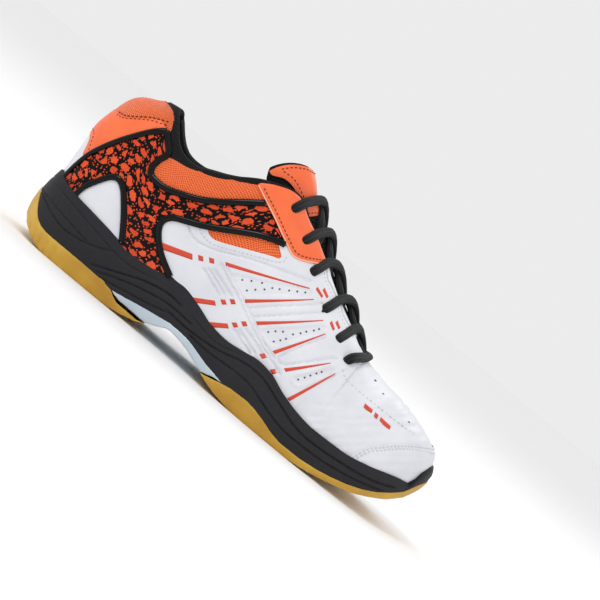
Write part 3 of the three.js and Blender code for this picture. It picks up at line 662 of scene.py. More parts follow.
def leather_look(name, base, shade, roughness, grain=0.9, bump=0.05):
    """Synthetic leather: fine pebbled grain, faint mottling, satin sheen."""
    look = Look(name, roughness)
    place = look.coordinates()
    mottle = look.noise(place, 0.05, 4)
    look.set("Base Color", look.mix_color(look.ramp(mottle, 0.35, 0.7), base, shade))
    cells = look.node("TexVoronoi", {"Vector": place, "Scale": grain}, feature="SMOOTH_F1")
    fine = look.noise(place, 2.2, 2)
    look.bump(look.math("ADD", look.math("MULTIPLY", cells.outputs["Distance"], 0.6), fine), bump)
    rough = look.node("MapRange", {"Value": fine, "To Min": roughness - 0.06, "To Max": roughness + 0.1})
    look.set("Roughness", rough.outputs["Result"])
    return look


def knit_look(name, thread, hole, pitch, roughness, depth=0.25, sheen=0.3):
    """Open knit mesh: staggered rows of small holes between rounded threads; the holes' colour is the
    layer behind, darkened by painted shade inside each opening.
    """
    look = Look(name, roughness)
    place = look.coordinates(uv=True)
    split = look.node("SeparateXYZ", {"Vector": place})
    across = look.math("SINE", look.math("MULTIPLY", split.outputs[0], 2 * math.pi / pitch))
    along = look.math("SINE", look.math("MULTIPLY", split.outputs[1], 2 * math.pi / (pitch * 1.15)))
    weave = look.math("MULTIPLY", across, along)
    fuzz = look.noise(place, 1.6, 2)
    height = look.math("ADD", weave, look.math("MULTIPLY", fuzz, 0.5))
    # the hole colour is partly the layer behind the mesh, partly painted shade inside each opening
    holes = look.ramp(look.math("MULTIPLY_ADD", height, 0.5), 0.38, 0.62)
    look.set("Base Color", look.mix_color(holes, hole, thread))
    look.bump(height, depth)
    look.steady(Sheen_Weight=sheen, Sheen_Roughness=0.5, Specular_IOR_Level=0.2)
    return look


def crackle_look():
    """Orange stones of many sizes on glossy black."""
    look = Look("crackle_film", 0.24, specular=0.12)
    place = look.coordinates(uv=True)
    warp = look.node("TexNoise", {"Vector": place, "Scale": 0.22, "Detail": 2})
    bend = look.node("VectorMath", {0: warp.outputs["Color"], 1: (0.5, 0.5, 0.5)}, operation="SUBTRACT")
    push = look.node("VectorMath", {0: bend.outputs[0], "Scale": 3.2}, operation="SCALE")
    moved = look.node("VectorMath", {0: place, 1: push.outputs[0]}, operation="ADD").outputs[0]
    squeezed = look.node("Mapping", {"Vector": moved, "Scale": (0.72, 1.08, 1)}).outputs[0]
    settings = {"Vector": squeezed, "Scale": 0.165, "Randomness": 1.0}
    edge = look.node("TexVoronoi", settings, feature="DISTANCE_TO_EDGE", voronoi_dimensions="2D")
    cell = look.node("TexVoronoi", settings, feature="F1", voronoi_dimensions="2D")
    speck = look.node("TexVoronoi", {"Vector": moved, "Scale": 0.42}, feature="F1",
                      voronoi_dimensions="2D")
    ragged = look.node("MapRange", {"Value": look.noise(place, 0.5, 2), "To Min": -0.05,
                                    "To Max": 0.05})
    round_off = look.math("MULTIPLY", look.math("SUBTRACT", 0.57, cell.outputs["Distance"]), 0.85)
    blob = look.math("MINIMUM", edge.outputs["Distance"], round_off)
    reach = look.math("ADD", blob, ragged.outputs["Result"])
    large = look.ramp(reach, 0.145, 0.165)
    small = look.ramp(speck.outputs["Distance"], (0.17, OPAQUE_WHITE), (0.23, BLACK))
    stone = look.math("MAXIMUM", large, small)
    shade = look.node("SeparateColor", {"Color": cell.outputs["Color"]})
    tint = look.mix_color(shade.outputs[0], srgb(240, 92, 48), srgb(212, 70, 36))
    dust = look.noise(place, 1.3, 3)
    tint = look.mix_color(look.ramp(dust, 0.45, 0.8), tint, srgb(150, 44, 28))
    look.set("Base Color", look.mix_color(stone, srgb(9, 8, 9), tint))
    look.bump(stone, 0.12, 0.7)
    return look


def foam_look():
    """Moulded midsole foam: charcoal with a fine pebble."""
    look = Look("midsole_foam", 0.62)
    place = look.coordinates()
    cells = look.node("TexVoronoi", {"Vector": place, "Scale": 0.75})
    grain = look.noise(place, 1.6, 3)
    tone = look.noise(place, 0.03, 3)
    look.set("Base Color", look.mix_color(tone, srgb(30, 30, 33), srgb(41, 41, 45)))
    look.steady(Specular_IOR_Level=0.22)
    look.bump(look.math("ADD", cells.outputs["Distance"], grain), 0.16, 0.8)
    return look


def gum_look():
    """Translucent gum rubber: amber of three tones, with light scattered under its surface."""
    look = Look("gum_rubber", 0.42)
    place = look.coordinates()
    tone = look.noise(place, 0.035, 4)
    look.set("Base Color", look.ramp(tone, (0.3, srgb(176, 130, 28)), (0.55, srgb(194, 150, 40)),
                                     (0.8, srgb(214, 176, 72))))
    look.steady(Subsurface_Weight=0.25, Subsurface_Scale=0.004, Subsurface_Radius=(1.0, 0.55, 0.15))
    look.bump(look.noise(place, 1.1, 4), 0.12, 0.6)
    return look


def plain_look(name, a, b, roughness, scale=0.3, bump=0.05, metallic=0.0, coat=0.0, specular=0.5):
    """A moulded or woven piece with a little tone and grain."""
    look = Look(name, roughness, metallic, specular)
    place = look.coordinates()
    tone = look.noise(place, scale, 4)
    look.set("Base Color", look.mix_color(tone, a, b))
    look.bump(look.noise(place, 1.8, 2), bump)
    look.steady(Coat_Weight=coat, Coat_Roughness=0.12)
    return look


def braid_look(name, dark, light):
    """Braided cord: two diagonal sets of strands over each other, their crowns painted lighter as a
    painted highlight and the grooves darker as painted shade.
    """
    look = Look(name, 0.75)
    place = look.coordinates(uv=True)
    split = look.node("SeparateXYZ", {"Vector": place})
    along = look.math("MULTIPLY", split.outputs[0], 4.2)
    around = look.math("MULTIPLY", split.outputs[1], 2 * math.pi / 3)
    up, down = (look.math("SINE", look.math(way, along, around)) for way in ("ADD", "SUBTRACT"))
    strands = look.math("MULTIPLY", up, down)
    fuzz = look.noise(look.coordinates(), 2.5, 2)
    height = look.math("ADD", strands, look.math("MULTIPLY", fuzz, 0.5))
    # painted highlight on the strands' crowns and painted shade in the grooves between them
    shade = look.ramp(look.math("MULTIPLY_ADD", height, 0.5), 0.2, 0.9)
    look.set("Base Color", look.mix_color(shade, dark, light))
    look.bump(height, 0.3)
    look.steady(Sheen_Weight=0.1, Sheen_Roughness=0.4, Specular_IOR_Level=0.2)
    return look


WHITE = leather_look("white_leather", srgb(224, 225, 230), srgb(214, 215, 222), 0.4,
                     bump=0.03).material
ORANGE = leather_look("orange_leather", srgb(247, 112, 58), srgb(238, 98, 48), 0.34,
                      bump=0.04).material
CRACKLE = crackle_look().material
# each knit's second colour is its holes: the layer behind, darkened by painted shade inside the openings
ORANGE_MESH = knit_look("orange_mesh", srgb(255, 124, 62), srgb(200, 54, 20), 1.75, 0.7).material
BLACK_MESH = knit_look("black_mesh", srgb(24, 24, 26), srgb(3, 3, 3), 1.9, 0.85, depth=0.35,
                       sheen=0.08).material
LINING_CLOTH = knit_look("lining_cloth", srgb(24, 24, 26), srgb(6, 6, 7), 1.5, 0.9, depth=0.2,
                         sheen=0.08).material
FOAM = foam_look().material
GUM = gum_look().material
SHANK = plain_look("silver_shank", srgb(178, 193, 203), srgb(198, 210, 218), 0.28, 0.05, 0.02, 0.35,
                   0.4).material
PIPING = plain_look("gloss_piping", srgb(4, 4, 5), srgb(8, 8, 9), 0.14, 0.4, 0.01,
                    specular=0.2).material
PRINT = plain_look("orange_print", srgb(218, 68, 32), srgb(202, 60, 28), 0.4, 0.6, 0.02).material
DARK_THREAD = plain_look("dark_thread", srgb(92, 34, 22), srgb(60, 24, 18), 0.8, 1.5, 0.1).material
WHITE_THREAD = plain_look("white_thread", srgb(214, 215, 220), srgb(196, 197, 203), 0.8, 1.5,
                          0.1).material
CUT_EDGE = plain_look("cut_edge", srgb(255, 186, 158), srgb(250, 170, 138), 0.6, 0.8, 0.05).material
# perforation and vent discs: grey for the layer under each hole, darkened by painted shade inside it
HOLE_SHADE = plain_look("punched_hole_shade", srgb(96, 96, 102), srgb(60, 60, 66), 0.9, 1.0, 0.05).material
# the lace's lighter colour is a painted highlight on the strands' crowns; its darker one is the black
# cord with painted shade in the grooves
LACE = braid_look("lace_braid", srgb(6, 6, 7), srgb(40, 41, 43)).material


# ---------------------------------------- the camera, the floor and the light
def placed(*point):
    """A building point in the row frame, in metres."""
    return Vector((np.array(point) + SHIFT) * MM)


AIM = placed(161.9, -38, 75.5)
CAMERA_RISE, CAMERA_ROLL = math.radians(3), math.radians(39.55)
CAMERA_DISTANCE, CAMERA_LENS, CAMERA_SENSOR = 1.5, 154.4, 36
FLOOR_HALF = 4
WORLD_STRENGTH = 0.84
back = Vector((0, -math.cos(CAMERA_RISE), math.sin(CAMERA_RISE)))
right = Vector((0, 0, 1)).cross(back).normalized()
up = back.cross(right)
rolled_right = right * math.cos(CAMERA_ROLL) + up * math.sin(CAMERA_ROLL)
rolled_up = up * math.cos(CAMERA_ROLL) - right * math.sin(CAMERA_ROLL)
camera_data = bpy.data.cameras.new("camera")
camera_data.lens = CAMERA_LENS
camera_data.sensor_width = CAMERA_SENSOR
camera = linked("camera", camera_data)
camera.rotation_mode = "QUATERNION"
camera.rotation_quaternion = Matrix((rolled_right, rolled_up, back)).transposed().to_quaternion()
camera.location = AIM + back * CAMERA_DISTANCE
bpy.context.scene.camera = camera


def area_light(name, place, size, power):
    """A square lamp of the given size and power, aimed at the shoe."""
    data = bpy.data.lights.new(name, "AREA")
    data.shape = "RECTANGLE"
    data.size = data.size_y = size
    data.energy = power
    light = linked(name, data)
    light.location = place
    light.rotation_euler = (Vector((0, 0, 0.05)) - Vector(place)).to_track_quat("-Z", "Y").to_euler()


floor_look = plain_look("floor", srgb(253, 253, 253), srgb(251, 251, 252), 0.9, 0.01, 0.0, specular=0.1)
floor_mesh = bpy.data.meshes.new("floor")
floor_corners = [(-1, -1, 0), (1, -1, 0), (1, 1, 0), (-1, 1, 0)]
floor_mesh.from_pydata([Vector(corner) * FLOOR_HALF for corner in floor_corners], [], [(0, 1, 2, 3)])
floor_mesh.materials.append(floor_look.material)
floor = linked("floor", floor_mesh)
area_light("key", (-0.5, -0.7, 1.25), 0.45, 5)
area_light("front", (1.1, -0.3, 0.7), 0.8, 1)
area_light("rear", (-1.0, 0.5, 0.9), 0.8, 1)
area_light("far", (0.4, 1.0, 1.1), 0.6, 2.5)
world = bpy.data.worlds.new("studio")
world.use_nodes = True
world.node_tree.nodes["Background"].inputs["Color"].default_value = OPAQUE_WHITE
world.node_tree.nodes["Background"].inputs["Strength"].default_value = WORLD_STRENGTH
bpy.context.scene.world = world
bpy.context.scene.view_settings.view_transform = "Standard"


# ---------------------------------------- the lace: first, as the rest lies round it
LACE_ROOM = 0.7
LACE_WIDE, LACE_FLAT = 3.0, 0.6
CROSS_ABOVE = 2 * LACE_R + 0.5
LOWEST = len(EYELETS) - 1


class Eyelet:
    """One lace hole and the points a lace passes there."""

    def __init__(self, side, i):
        x, z = EYELETS[i]
        u, v = side_map[side]([(x, z)])
        depths = (0, OUTER / 2, OUTER + GAP + LACE_R, -LACE_R - 0.6)
        at = [upper(side, u, v, depth)[0] for depth in depths]
        edge_x = min(x + 5, THROAT_END - 1)
        edge = np.array([edge_x, crest_y(edge_x) + side * top_half(edge_x), top_line(edge_x)])
        lean = edge - at[0]
        under, over = at[2] + 0.3 * lean, at[3] + 0.35 * lean
        self.inside = [edge + [1, -side * 2.6, -1.2], under]
        self.hole = at[1] - 0.8 * lean / np.linalg.norm(lean)
        self.outside = [over, edge + [0, -side * 0.5, LACE_R + 1.1]]


def lace_route():
    """The lace's path: in at the top lateral eyelet, crossing down to the toe and back up."""
    holes = {side: [Eyelet(side, i) for i in range(len(EYELETS))] for side in (LATERAL, MEDIAL)}

    def crossing(i, above):
        """The middle of the crossing below eyelet i, lying on the tongue or above the other one."""
        x = (EYELETS[i][0] + EYELETS[i + 1][0]) / 2 + 4
        rise = LACE_R + LACE_ROOM + (CROSS_ABOVE if above else 0)
        return np.array([x, crest_y(x), tongue_line(x) + rise])

    def end(side):
        """The lace's end, just inside its top eyelet."""
        return holes[side][0].hole + [-0.5, -side * 3.2, -1.5]

    def flank(side):
        """The lowest bar's way over the surface from its eyelet to beside the throat's end."""
        x, z = EYELETS[LOWEST]
        top = top_line(x + 7.5)
        u, v = side_map[side]([(x + 1.2, mix(z, top, 0.12)), (x + 4.5, mix(z, top, 0.5)),
                               (x + 7.5, top - 1.8)])
        return list(upper(side, u, v, -LACE_R - 1.2))

    side = LATERAL
    route = [end(side)]
    for i in range(len(EYELETS)):
        hole = holes[side][i]
        route += hole.inside if i > 0 else []
        route.append(hole.hole)
        if i < LOWEST:
            route += hole.outside + [crossing(i, i % 2 == 0)]
            side = -side
    bar = EYELETS[LOWEST][0] + 9
    bar_middle = np.array([bar, crest_y(bar), top_line(bar) + LACE_R + 1])
    route += flank(side) + [bar_middle] + flank(-side)[::-1]
    side = -side
    for i in range(LOWEST, -1, -1):
        hole = holes[side][i]
        route += hole.outside[::-1] if i < LOWEST else []
        route.append(hole.hole)
        if i > 0:
            route += hole.inside[::-1] + [crossing(i - 1, i % 2 == 0)]
            side = -side
    route.append(end(side))
    return np.array(route)


def catmull(points, step):
    """A curve through the points, spaced evenly by step."""
    result = []
    n = len(points)
    for i in range(n - 1):
        a, b = points[max(i - 1, 0)], points[i]
        c, d = points[i + 1], points[min(i + 2, n - 1)]
        for k in range(8):
            t = k / 8
            result.append(0.5 * (2 * b + (c - a) * t + (2 * a - 5 * b + 4 * c - d) * t * t
                                 + (3 * b - a - 3 * c + d) * t ** 3))
    result.append(points[-1])
    return resampled(result, step)


def throat_normal(p):
    """The direction out of the shoe's throat at a point above it."""
    slope = tongue_line(p[0] + 1) - tongue_line(p[0] - 1)
    lean = 2 * tongue_bend(p[0]) * (p[1] - crest_y(p[0]))
    normal = np.array([-slope, 2 * 1.5 * lean, 2.0])
    return normal / np.linalg.norm(normal)


lace_line = catmull(lace_route(), 1.0)
lace_ups = [throat_normal(p) for p in lace_line]
joined("lace_skin", [tube(lace_line, LACE_WIDE, 12, LACE_FLAT, lace_ups)], LACE,
       nodes=("lace",))


# ---------------------------------------- panel outlines, in side view
eyestay_outline = [(100, 111.2), (104, 115.2), (110, 118.2), (118, 120.6), (126, 119.6),
                   (136, 113.4), (145, 109.2), (157, 102.2), (161.6, 100), (160.5, 98.5),
                   (155, 96.2), (150, 93.8), (145, 92.1), (141, 92.2), (137, 94), (130, 97.5),
                   (120, 102.5), (110, 106.8)]
crackle_outline = [(9, 42), (9.7, 50), (12, 61), (16, 70), (21, 79), (27, 88), (33, 96), (38, 101),
                   (43, 96.5), (47.5, 91.5), (46, 86), (45.5, 80), (48, 76), (53, 75), (60, 75.5),
                   (70, 79), (80, 83.5), (90, 90), (100, 98), (110, 105.5), (120, 101.5),
                   (130, 96.5), (136, 94), (130, 93), (120, 89.5), (110, 84), (100, 78), (90, 72.5),
                   (80, 68), (74, 65), (71, 61), (71, 57), (74, 52), (80, 46), (87, 41.5),
                   (100, 34), (100, 22), (60, 22), (60, 36), (52, 46.5), (44, 56), (39, 60.5),
                   (35, 62), (31, 60), (27, 54), (23, 46), (21.5, 38), (21, 24), (9, 24)]
heel_window = [(20, 24), (20, 38), (21.5, 46), (25.5, 55), (30, 62), (35, 64), (40.5, 62), (46, 57),
               (54, 47.5), (62, 36), (62, 24)]
collar_window = [(45.5, 92), (44, 86), (43.5, 80), (47, 74.5), (53, 73), (61, 73.5), (71, 77),
                 (81, 81.5), (91, 88), (101, 96), (111, 103.5), (107, 111), (100, 112.5), (90, 108),
                 (80, 102), (70, 98), (60, 95), (50, 94)]
lower_window = [(88, 74), (89, 70), (97, 68.5), (101, 68.4), (107, 70), (116, 74), (126, 79),
                (134, 82.5), (140, 86.5), (135, 92), (129, 92.5), (120, 89), (110, 84.5),
                (99, 79.5)]
heel_patch = [(-3, 72), (4.5, 70), (7, 65), (9, 59), (12, 61), (16, 70), (21, 79), (27, 88),
              (33, 96), (38, 101), (33, 104), (27, 101), (20, 96), (14, 92), (9, 91), (-3, 90.5)]
heel_top = [(-3, 88), (9, 88), (14, 89), (20, 93), (27, 98), (33, 101), (38, 99.5), (40.5, 101.5),
            (38, 108), (34.5, 112), (30, 113.4), (24, 113.2), (20, 112.9), (8, 112.9), (-3, 100)]
band_outline = [(36, 99), (40, 101.5), (43, 98), (47, 92), (50, 90.5), (57, 90.3), (62, 91),
                (70, 94), (80, 98.5), (90, 104.5), (97, 109.5), (104, 114), (104, 116.6),
                (95, 111.8), (88, 106.8), (80, 102.3), (72, 98.8), (66, 96.5), (60, 96.1),
                (55, 96.8), (50, 99.3), (45, 103.8), (38, 111.6), (33, 115), (33, 106)]
heel_base = [(-3, 75), (5, 73.5), (8, 68), (11, 62), (11.8, 58), (10.6, 50), (10.3, 42), (11, 20),
             (-3, 20)]
quarter_outline = [(199, 6), (199, 24), (207, 59), (216, 68), (219, 70.8), (207, 74.8), (198, 79.8),
                   (180, 88.8), (168, 95.8), (160, 101.3), (154, 99), (148, 98), (138, 96.5),
                   (131, 93.5), (134, 90.4), (137.2, 88), (137, 85.9), (133, 84.5), (125, 81),
                   (115, 76.5), (106, 72.5), (101, 70.8), (97, 71), (91, 74), (84, 72), (77, 69),
                   (72.5, 66), (68.5, 59.5), (72, 50), (83, 41), (92, 35), (92, 6)]
vamp_outline = [(196, 6), (196, 24), (204, 59), (212, 67.5), (215, 71.6), (226, 69.2), (238, 67.5),
                (262, 66.5), (280, 62), (292, 54), (292, 53), (277, 52.5), (272, 51.5), (266, 49),
                (260, 45), (254, 40), (250.5, 36.5), (247.3, 33), (245, 29), (243.5, 25),
                (243.5, 6)]
toe_cap_outline = [(242.3, 6), (242.3, 25), (245, 31), (247.7, 36), (251.5, 39.2), (255, 42.7),
                   (261, 47.7), (267, 51.5), (272, 53.8), (277, 55.2), (283, 55.6), (294, 55.6),
                   (294, 8)]

# ---------------------------------------- the quarter: white leather, pressed and printed
STREAKS = [
    [(115, 64), (162, 83.5)],
    [(137.5, 54.5), (168, 80)],
    [(151, 49), (180, 74)],
    [(169.5, 42.3), (186, 69)],
    [(181, 38.7), (199, 58)],
    [(193.5, 27), (205, 55)],
]
BARS = [
    [(76, 47.2), (97.5, 54.8)], [(100.4, 56.7), (103.1, 57.9)], [(106.2, 59.7), (108.9, 60.9)],
    [(114, 35.8), (125, 42.6)], [(127.2, 45.3), (129.4, 47)], [(131.2, 48.9), (133.4, 50.6)],
    [(130, 30.6), (139.3, 37.2)], [(140.9, 39.3), (143, 41.2)], [(144.7, 43.3), (146.8, 45.2)],
    [(165.2, 35.8), (167, 38.2)], [(175.6, 32.8), (177.4, 35.2)],
]
TICKS = [
    [(165, 86), (171, 84)], [(168.5, 88), (173.5, 85.5)],
    [(184, 76), (188.5, 73.5)], [(186.5, 78), (190.5, 76)],
]
TOE_DASHES = [
    [(230, 51.6), (236, 51.4)], [(238, 51.3), (240.4, 51.2)], [(242.4, 51.1), (250, 50.8)],
]
PERFORATIONS = [(128.5, 63), (133, 66), (138.5, 69), (134.5, 60), (138, 63.5), (142, 67),
                (145, 70.5), (148.7, 72.7), (153.5, 75.5), (157.5, 78), (161.5, 80.5),
                (159.5, 49.5), (162.5, 52.5), (166, 55), (165.5, 47.3), (168, 50.3), (170, 53),
                (171.5, 57.5), (174.5, 60.7), (176.5, 63.5), (179.5, 66.7), (181.3, 69.2),
                (190.5, 39.5), (192.7, 42.7), (194.5, 45.7), (196.5, 48.8), (198.3, 51.3)]
VENTS = [(226.6, 65.6), (235, 62.6), (257, 59.6)]
PRESSED = [
    [(142.1, 52.7), (146.2, 57.1), (161, 70.4), (173.5, 81.6)],
    [(142.1, 52.7), (144.6, 50.7), (147.2, 50.8), (164.3, 66.4), (176.5, 78)],
    [(173.5, 41.8), (177.3, 50.7), (182, 59.2), (187, 67.5)],
    [(173.5, 41.8), (175.8, 40), (178.6, 40.6), (188.7, 51.2), (197.3, 60.7), (200.5, 62.5)],
    [(83.8, 68.2), (87.5, 64.7), (94.4, 63.4), (105.5, 66.4), (122.4, 74.5), (140.4, 81.1),
     (159.9, 87.5)],
    [(113, 62.2), (120, 59), (131.9, 54.4), (143.6, 48.7), (158.5, 42.2), (169.7, 38.5), (180, 35)],
    [(116, 63.6), (123, 60.4), (134.5, 55.7), (146, 50.2), (160.5, 43.8), (171.5, 40)],
]
BARRED = [
    [(107, 53.5), (115.1, 50.5), (122.9, 47.9)],
    [(109.6, 55.3), (117.4, 52.7), (125.4, 50)],
    [(112.2, 57.1), (120.7, 54.5), (129.4, 51.7)],
    [(143.5, 37.8), (151.1, 35.4), (159.2, 33.1)],
    [(145.8, 39.6), (153.2, 37.3), (161.1, 35)],
    [(148.5, 42.4), (157.7, 39.8), (166, 37.4)],
]
RECESSED = [
    [(121.2, 61.7), (139, 71.4), (158.4, 82.1), (165.2, 83.6), (166.2, 81.2), (150.4, 69),
     (136.2, 57.7), (130.6, 57.4)],
    [(155.2, 48.3), (169, 60.8), (181.8, 72.3), (184.6, 72.6), (185.1, 69.7), (176.8, 58.5),
     (168.9, 46.6), (163.3, 44.9)],
    [(187.3, 38.6), (193, 45.9), (200.4, 56.2), (202.6, 57.4), (204.3, 56.2), (203.5, 53.2),
     (198.5, 46.4), (192.5, 37)],
]
QUARTER_LIFT, QUARTER_CROWN, VAMP_SURFACE = 0.6, 0.3, 0.55
PRESS_STRENGTH = 1.35
recessed_shapes = [spline(shape, 2, True) for shape in RECESSED]


def quarter_relief(x, z, reach):
    """The quarter's pressed lines, bars and sunk fields, fading at its edge."""
    press = np.zeros(len(x))
    for line in PRESSED:
        press = np.minimum(press, groove(x, z, spline(line, 4), 0.75, 0.85))
    for line in BARRED:
        press = np.minimum(press, groove(x, z, line, 0.85, 0.95))
    place = np.stack([x, z], axis=-1)
    for shape in recessed_shapes:
        edge = edge_distance(place, shape)
        within = inside(place, shape)
        press = np.minimum(press, np.where(within, -0.6 * smoothstep(edge, 0, 0.9), 0))
        press += np.where(within, 0, 0.4 * np.exp(-((edge - 0.9) / 0.7) ** 2))
    return PRESS_STRENGTH * press * smoothstep(reach, 0.5, 3)


def on_quarter(side, points, lift):
    """Side-view points on the quarter's pressed surface, lifted: positions."""
    points = np.asarray(points, float)
    u, v = side_map[side](points)
    relief = quarter_relief(points[:, 0], points[:, 1], np.full(len(points), float(CROWN_REACH)))
    return upper(side, u, v, -(QUARTER_LIFT + QUARTER_CROWN + relief + lift))


def on_vamp(side, points, lift):
    """Side-view points on the vamp's plain surface, lifted: positions."""
    u, v = side_map[side](points)
    return upper(side, u, v, -(VAMP_SURFACE + lift))


PRINT_SLANT, PRINT_STEP, PRINT_POINTS = -0.35, 0.9, 4


def print_strip(side, line, start_width, end_width, height=0.1, surface=on_quarter):
    """A printed bar on the upper between two side-view points."""
    a, b = np.array(line, float)
    length = np.linalg.norm(b - a)
    along = (b - a) / length
    across = np.array([-along[1], along[0]])
    n = PRINT_POINTS
    count = max(2, int(length / PRINT_STEP) + 1)
    rows = []
    for t in np.linspace(0, 1, count):
        width = mix(start_width, end_width, t) / 2
        rows.append([a + (b - a) * t + (across + PRINT_SLANT * along) * w
                     for w in np.linspace(-width, width, n)])
    flat = np.array(rows).reshape(-1, 2)
    face, rim = surface(side, flat, height), surface(side, flat, -0.35)
    faces = grid_faces(count, n)
    total = len(flat)
    around = [(k, k + 1) for k in range(n - 1)]
    around += [(total - n + k + 1, total - n + k) for k in range(n - 1)]
    around += [((i + 1) * n, i * n) for i in range(count - 1)]
    around += [((i + 1) * n - 1, (i + 2) * n - 1) for i in range(count - 1)]
    faces += [(q, p, p + total, q + total) for p, q in around]
    return np.concatenate([face, rim]), faces, np.concatenate([flat, flat])


def dot(side, place, radius, lift=0.06, sides=9, surface=on_quarter, rise=1.0):
    """A small round mark on the upper; rise is its height in side view as a share of its length."""
    angle = np.linspace(0, 2 * math.pi, sides, endpoint=False)
    ring = np.stack([place[0] + radius * np.cos(angle), place[1] + rise * radius * np.sin(angle)],
                    axis=-1)
    flat = np.vstack([[place], ring])
    points = surface(side, flat, lift)
    faces = [(0, 1 + k, 1 + (k + 1) % sides) for k in range(sides)]
    return points, faces, flat


for side in (LATERAL, MEDIAL):
    name = SIDE_NAME[side]
    panel = panel_part(side, quarter_outline, 0.8, QUARTER_LIFT, QUARTER_CROWN, 1.2,
                       relief=quarter_relief, corners=(0, len(quarter_outline) - 1))
    joined(f"quarter_skin_{name}", [panel], WHITE, nodes=(f"quarter_{name}",),
           sharp=50)
    prints = [print_strip(side, line, 2.2, 0.5) for line in STREAKS]
    prints.append(print_strip(side, BARS[0], 3.9, 3.3))
    prints += [print_strip(side, line, 3.0, 2.8) for line in BARS[1:]]
    prints += [print_strip(side, line, 1.7, 1.4) for line in TICKS]
    prints += [print_strip(side, line, 2.0, 2.0, 0.12, on_vamp) for line in TOE_DASHES]
    joined(f"quarter_print_{name}", prints, PRINT)
    # perforations and vents drawn as grey discs: the layer beneath with painted shade inside each hole
    holes = [dot(side, p, 0.62) for p in PERFORATIONS]
    holes += [dot(side, p, 0.8, 0.1, 12, on_vamp, 0.4) for p in VENTS]
    joined(f"perforations_{name}", holes, HOLE_SHADE)

# ---------------------------------------- crackle overlay, windows, eyestay
CRACKLE_LIFT, EYESTAY_LIFT = 1.0, 1.5
piping_lines = [
    [(9, 33), (9, 42), (9.7, 50), (12, 61), (16, 70), (21, 79), (27, 88), (33, 96), (38.5, 101.3)],
    [(60, 35.2), (52, 46.5), (44, 56), (39, 60.5), (35, 62), (31, 60), (27, 54), (23, 46),
     (21.5, 38.5), (21.4, 36.5)],
    [(38.5, 101.3), (43, 96.8), (47.7, 91.8), (46, 86), (45.5, 80), (48, 76), (53, 75), (60, 75.5),
     (70, 79), (80, 83.5), (90, 90), (100, 98), (110, 105.5)],
    [(134.4, 94.1), (130, 93.2), (120, 89.5), (110, 84), (100, 78), (90, 72.5), (80, 68), (74, 65),
     (71, 61), (71, 57), (74, 52), (80, 46), (87, 41.5), (94.5, 37.6)],
]
# piece, outline, spacing, lift, crown, edge rounding, corners, material, slot, CAD node
SIDE_PANELS = (
    ("crackle_skin", crackle_outline, 1.6, CRACKLE_LIFT, 0.3, 1.2, (7, 22, 35, 36, 37, 38, 47, 48),
     CRACKLE, "crackle_film", "crackle_overlay"),
    ("heel_window_skin", heel_window, 1.8, 0.35, 0.9, 1.5, (),
     WHITE, "white_leather", "heel_window"),
    ("collar_mesh_skin", collar_window, 1.8, 0.15, 0.8, 1.5, (),
     ORANGE_MESH, "orange_mesh", "collar_mesh"),
    ("window_mesh_skin", lower_window, 1.5, 0.1, 0.4, 1.5, (),
     ORANGE_MESH, "orange_mesh", "mesh_window"),
    ("eyestay_skin", eyestay_outline, 1.4, EYESTAY_LIFT, 0.3, 1.0, (),
     ORANGE, "orange_leather", "eyestay"),
    ("collar_band_skin", band_outline, 1.5, 0.35, 0.3, 1.2, (),
     BLACK_MESH, "black_mesh", "collar_band"),
)
for side in (LATERAL, MEDIAL):
    name = SIDE_NAME[side]
    for piece, outline, spacing, lift, crown, round_off, corners, material, slot, node in SIDE_PANELS:
        panel = panel_part(side, outline, spacing, lift, crown, round_off, corners=corners)
        joined(f"{piece}_{name}", [panel], material, nodes=(f"{node}_{name}",))
    rims = []
    for line in piping_lines:
        path, normal = surface_path(side, line, CRACKLE_LIFT + 0.25, 1.1)
        rims.append(tube(path, 2.0, 14, 0.7, normal))
    joined(f"piping_{name}", rims, PIPING)


def both(outline, *args, **options):
    """A panel that runs over the seam of the two halves, as its two sides."""
    return [panel_part(side, outline, *args, **options) for side in (LATERAL, MEDIAL)]


joined("heel_patch_skin", both(heel_patch, 1.4, 1.1, 0.3, 1.2, corners=(0, len(heel_patch) - 1)),
       ORANGE, nodes=("heel_patch",))
joined("heel_mesh_skin", both(heel_top, 1.6, 0.5, 0.7, 1.5, corners=(0, 13, len(heel_top) - 1)),
       ORANGE_MESH, nodes=("heel_mesh",))
joined("heel_base_skin", both(heel_base, 1.6, 0.5, 0.3, 1.2, corners=(0, 7, len(heel_base) - 1)),
       WHITE, nodes=("heel_base_panel",))
VAMP_LINES = [
    [(206, 34), (222, 44), (240, 56), (250, 64)],
    [(210, 28), (228, 40), (246, 55), (256, 62)],
    [(216, 27), (234, 40), (252, 55), (262, 60)],
]
RIPPLE_PITCH, RIPPLE_DEPTH = 5.2, 0.13


def ripple(x, z):
    """Faint pressed waves across the forefoot, slanting up towards the toe."""
    wave = np.sin((0.771 * z - 0.637 * x + 1.5 * np.sin(x / 14)) * 2 * math.pi / RIPPLE_PITCH)
    return RIPPLE_DEPTH * wave * smoothstep(x, 204, 216)


def toe_relief(x, z, reach):
    """The waves on the toe cap, fading at its edge."""
    return ripple(x, z) * smoothstep(reach, 1, 4)


def vamp_relief(x, z, reach):
    """The vamp's pressed lines and waves, fading at its edge."""
    press = np.zeros(len(x))
    for line in VAMP_LINES:
        press = np.minimum(press, groove(x, z, line, 1.3, 0.4))
    return (press + ripple(x, z)) * smoothstep(reach, 0.5, 3)


joined("vamp_skin", both(vamp_outline, 1.2, 0.3, 0.2, 1.2, relief=vamp_relief, corners=(0, 9, 10, 20)),
       WHITE, nodes=("vamp",), sharp=50)
joined("toe_cap_skin", both(toe_cap_outline, 1.2, 0.9, 0.3, 1.2, relief=toe_relief, corners=(0, 11, 12)),
       WHITE, nodes=("toe_cap",), sharp=50)

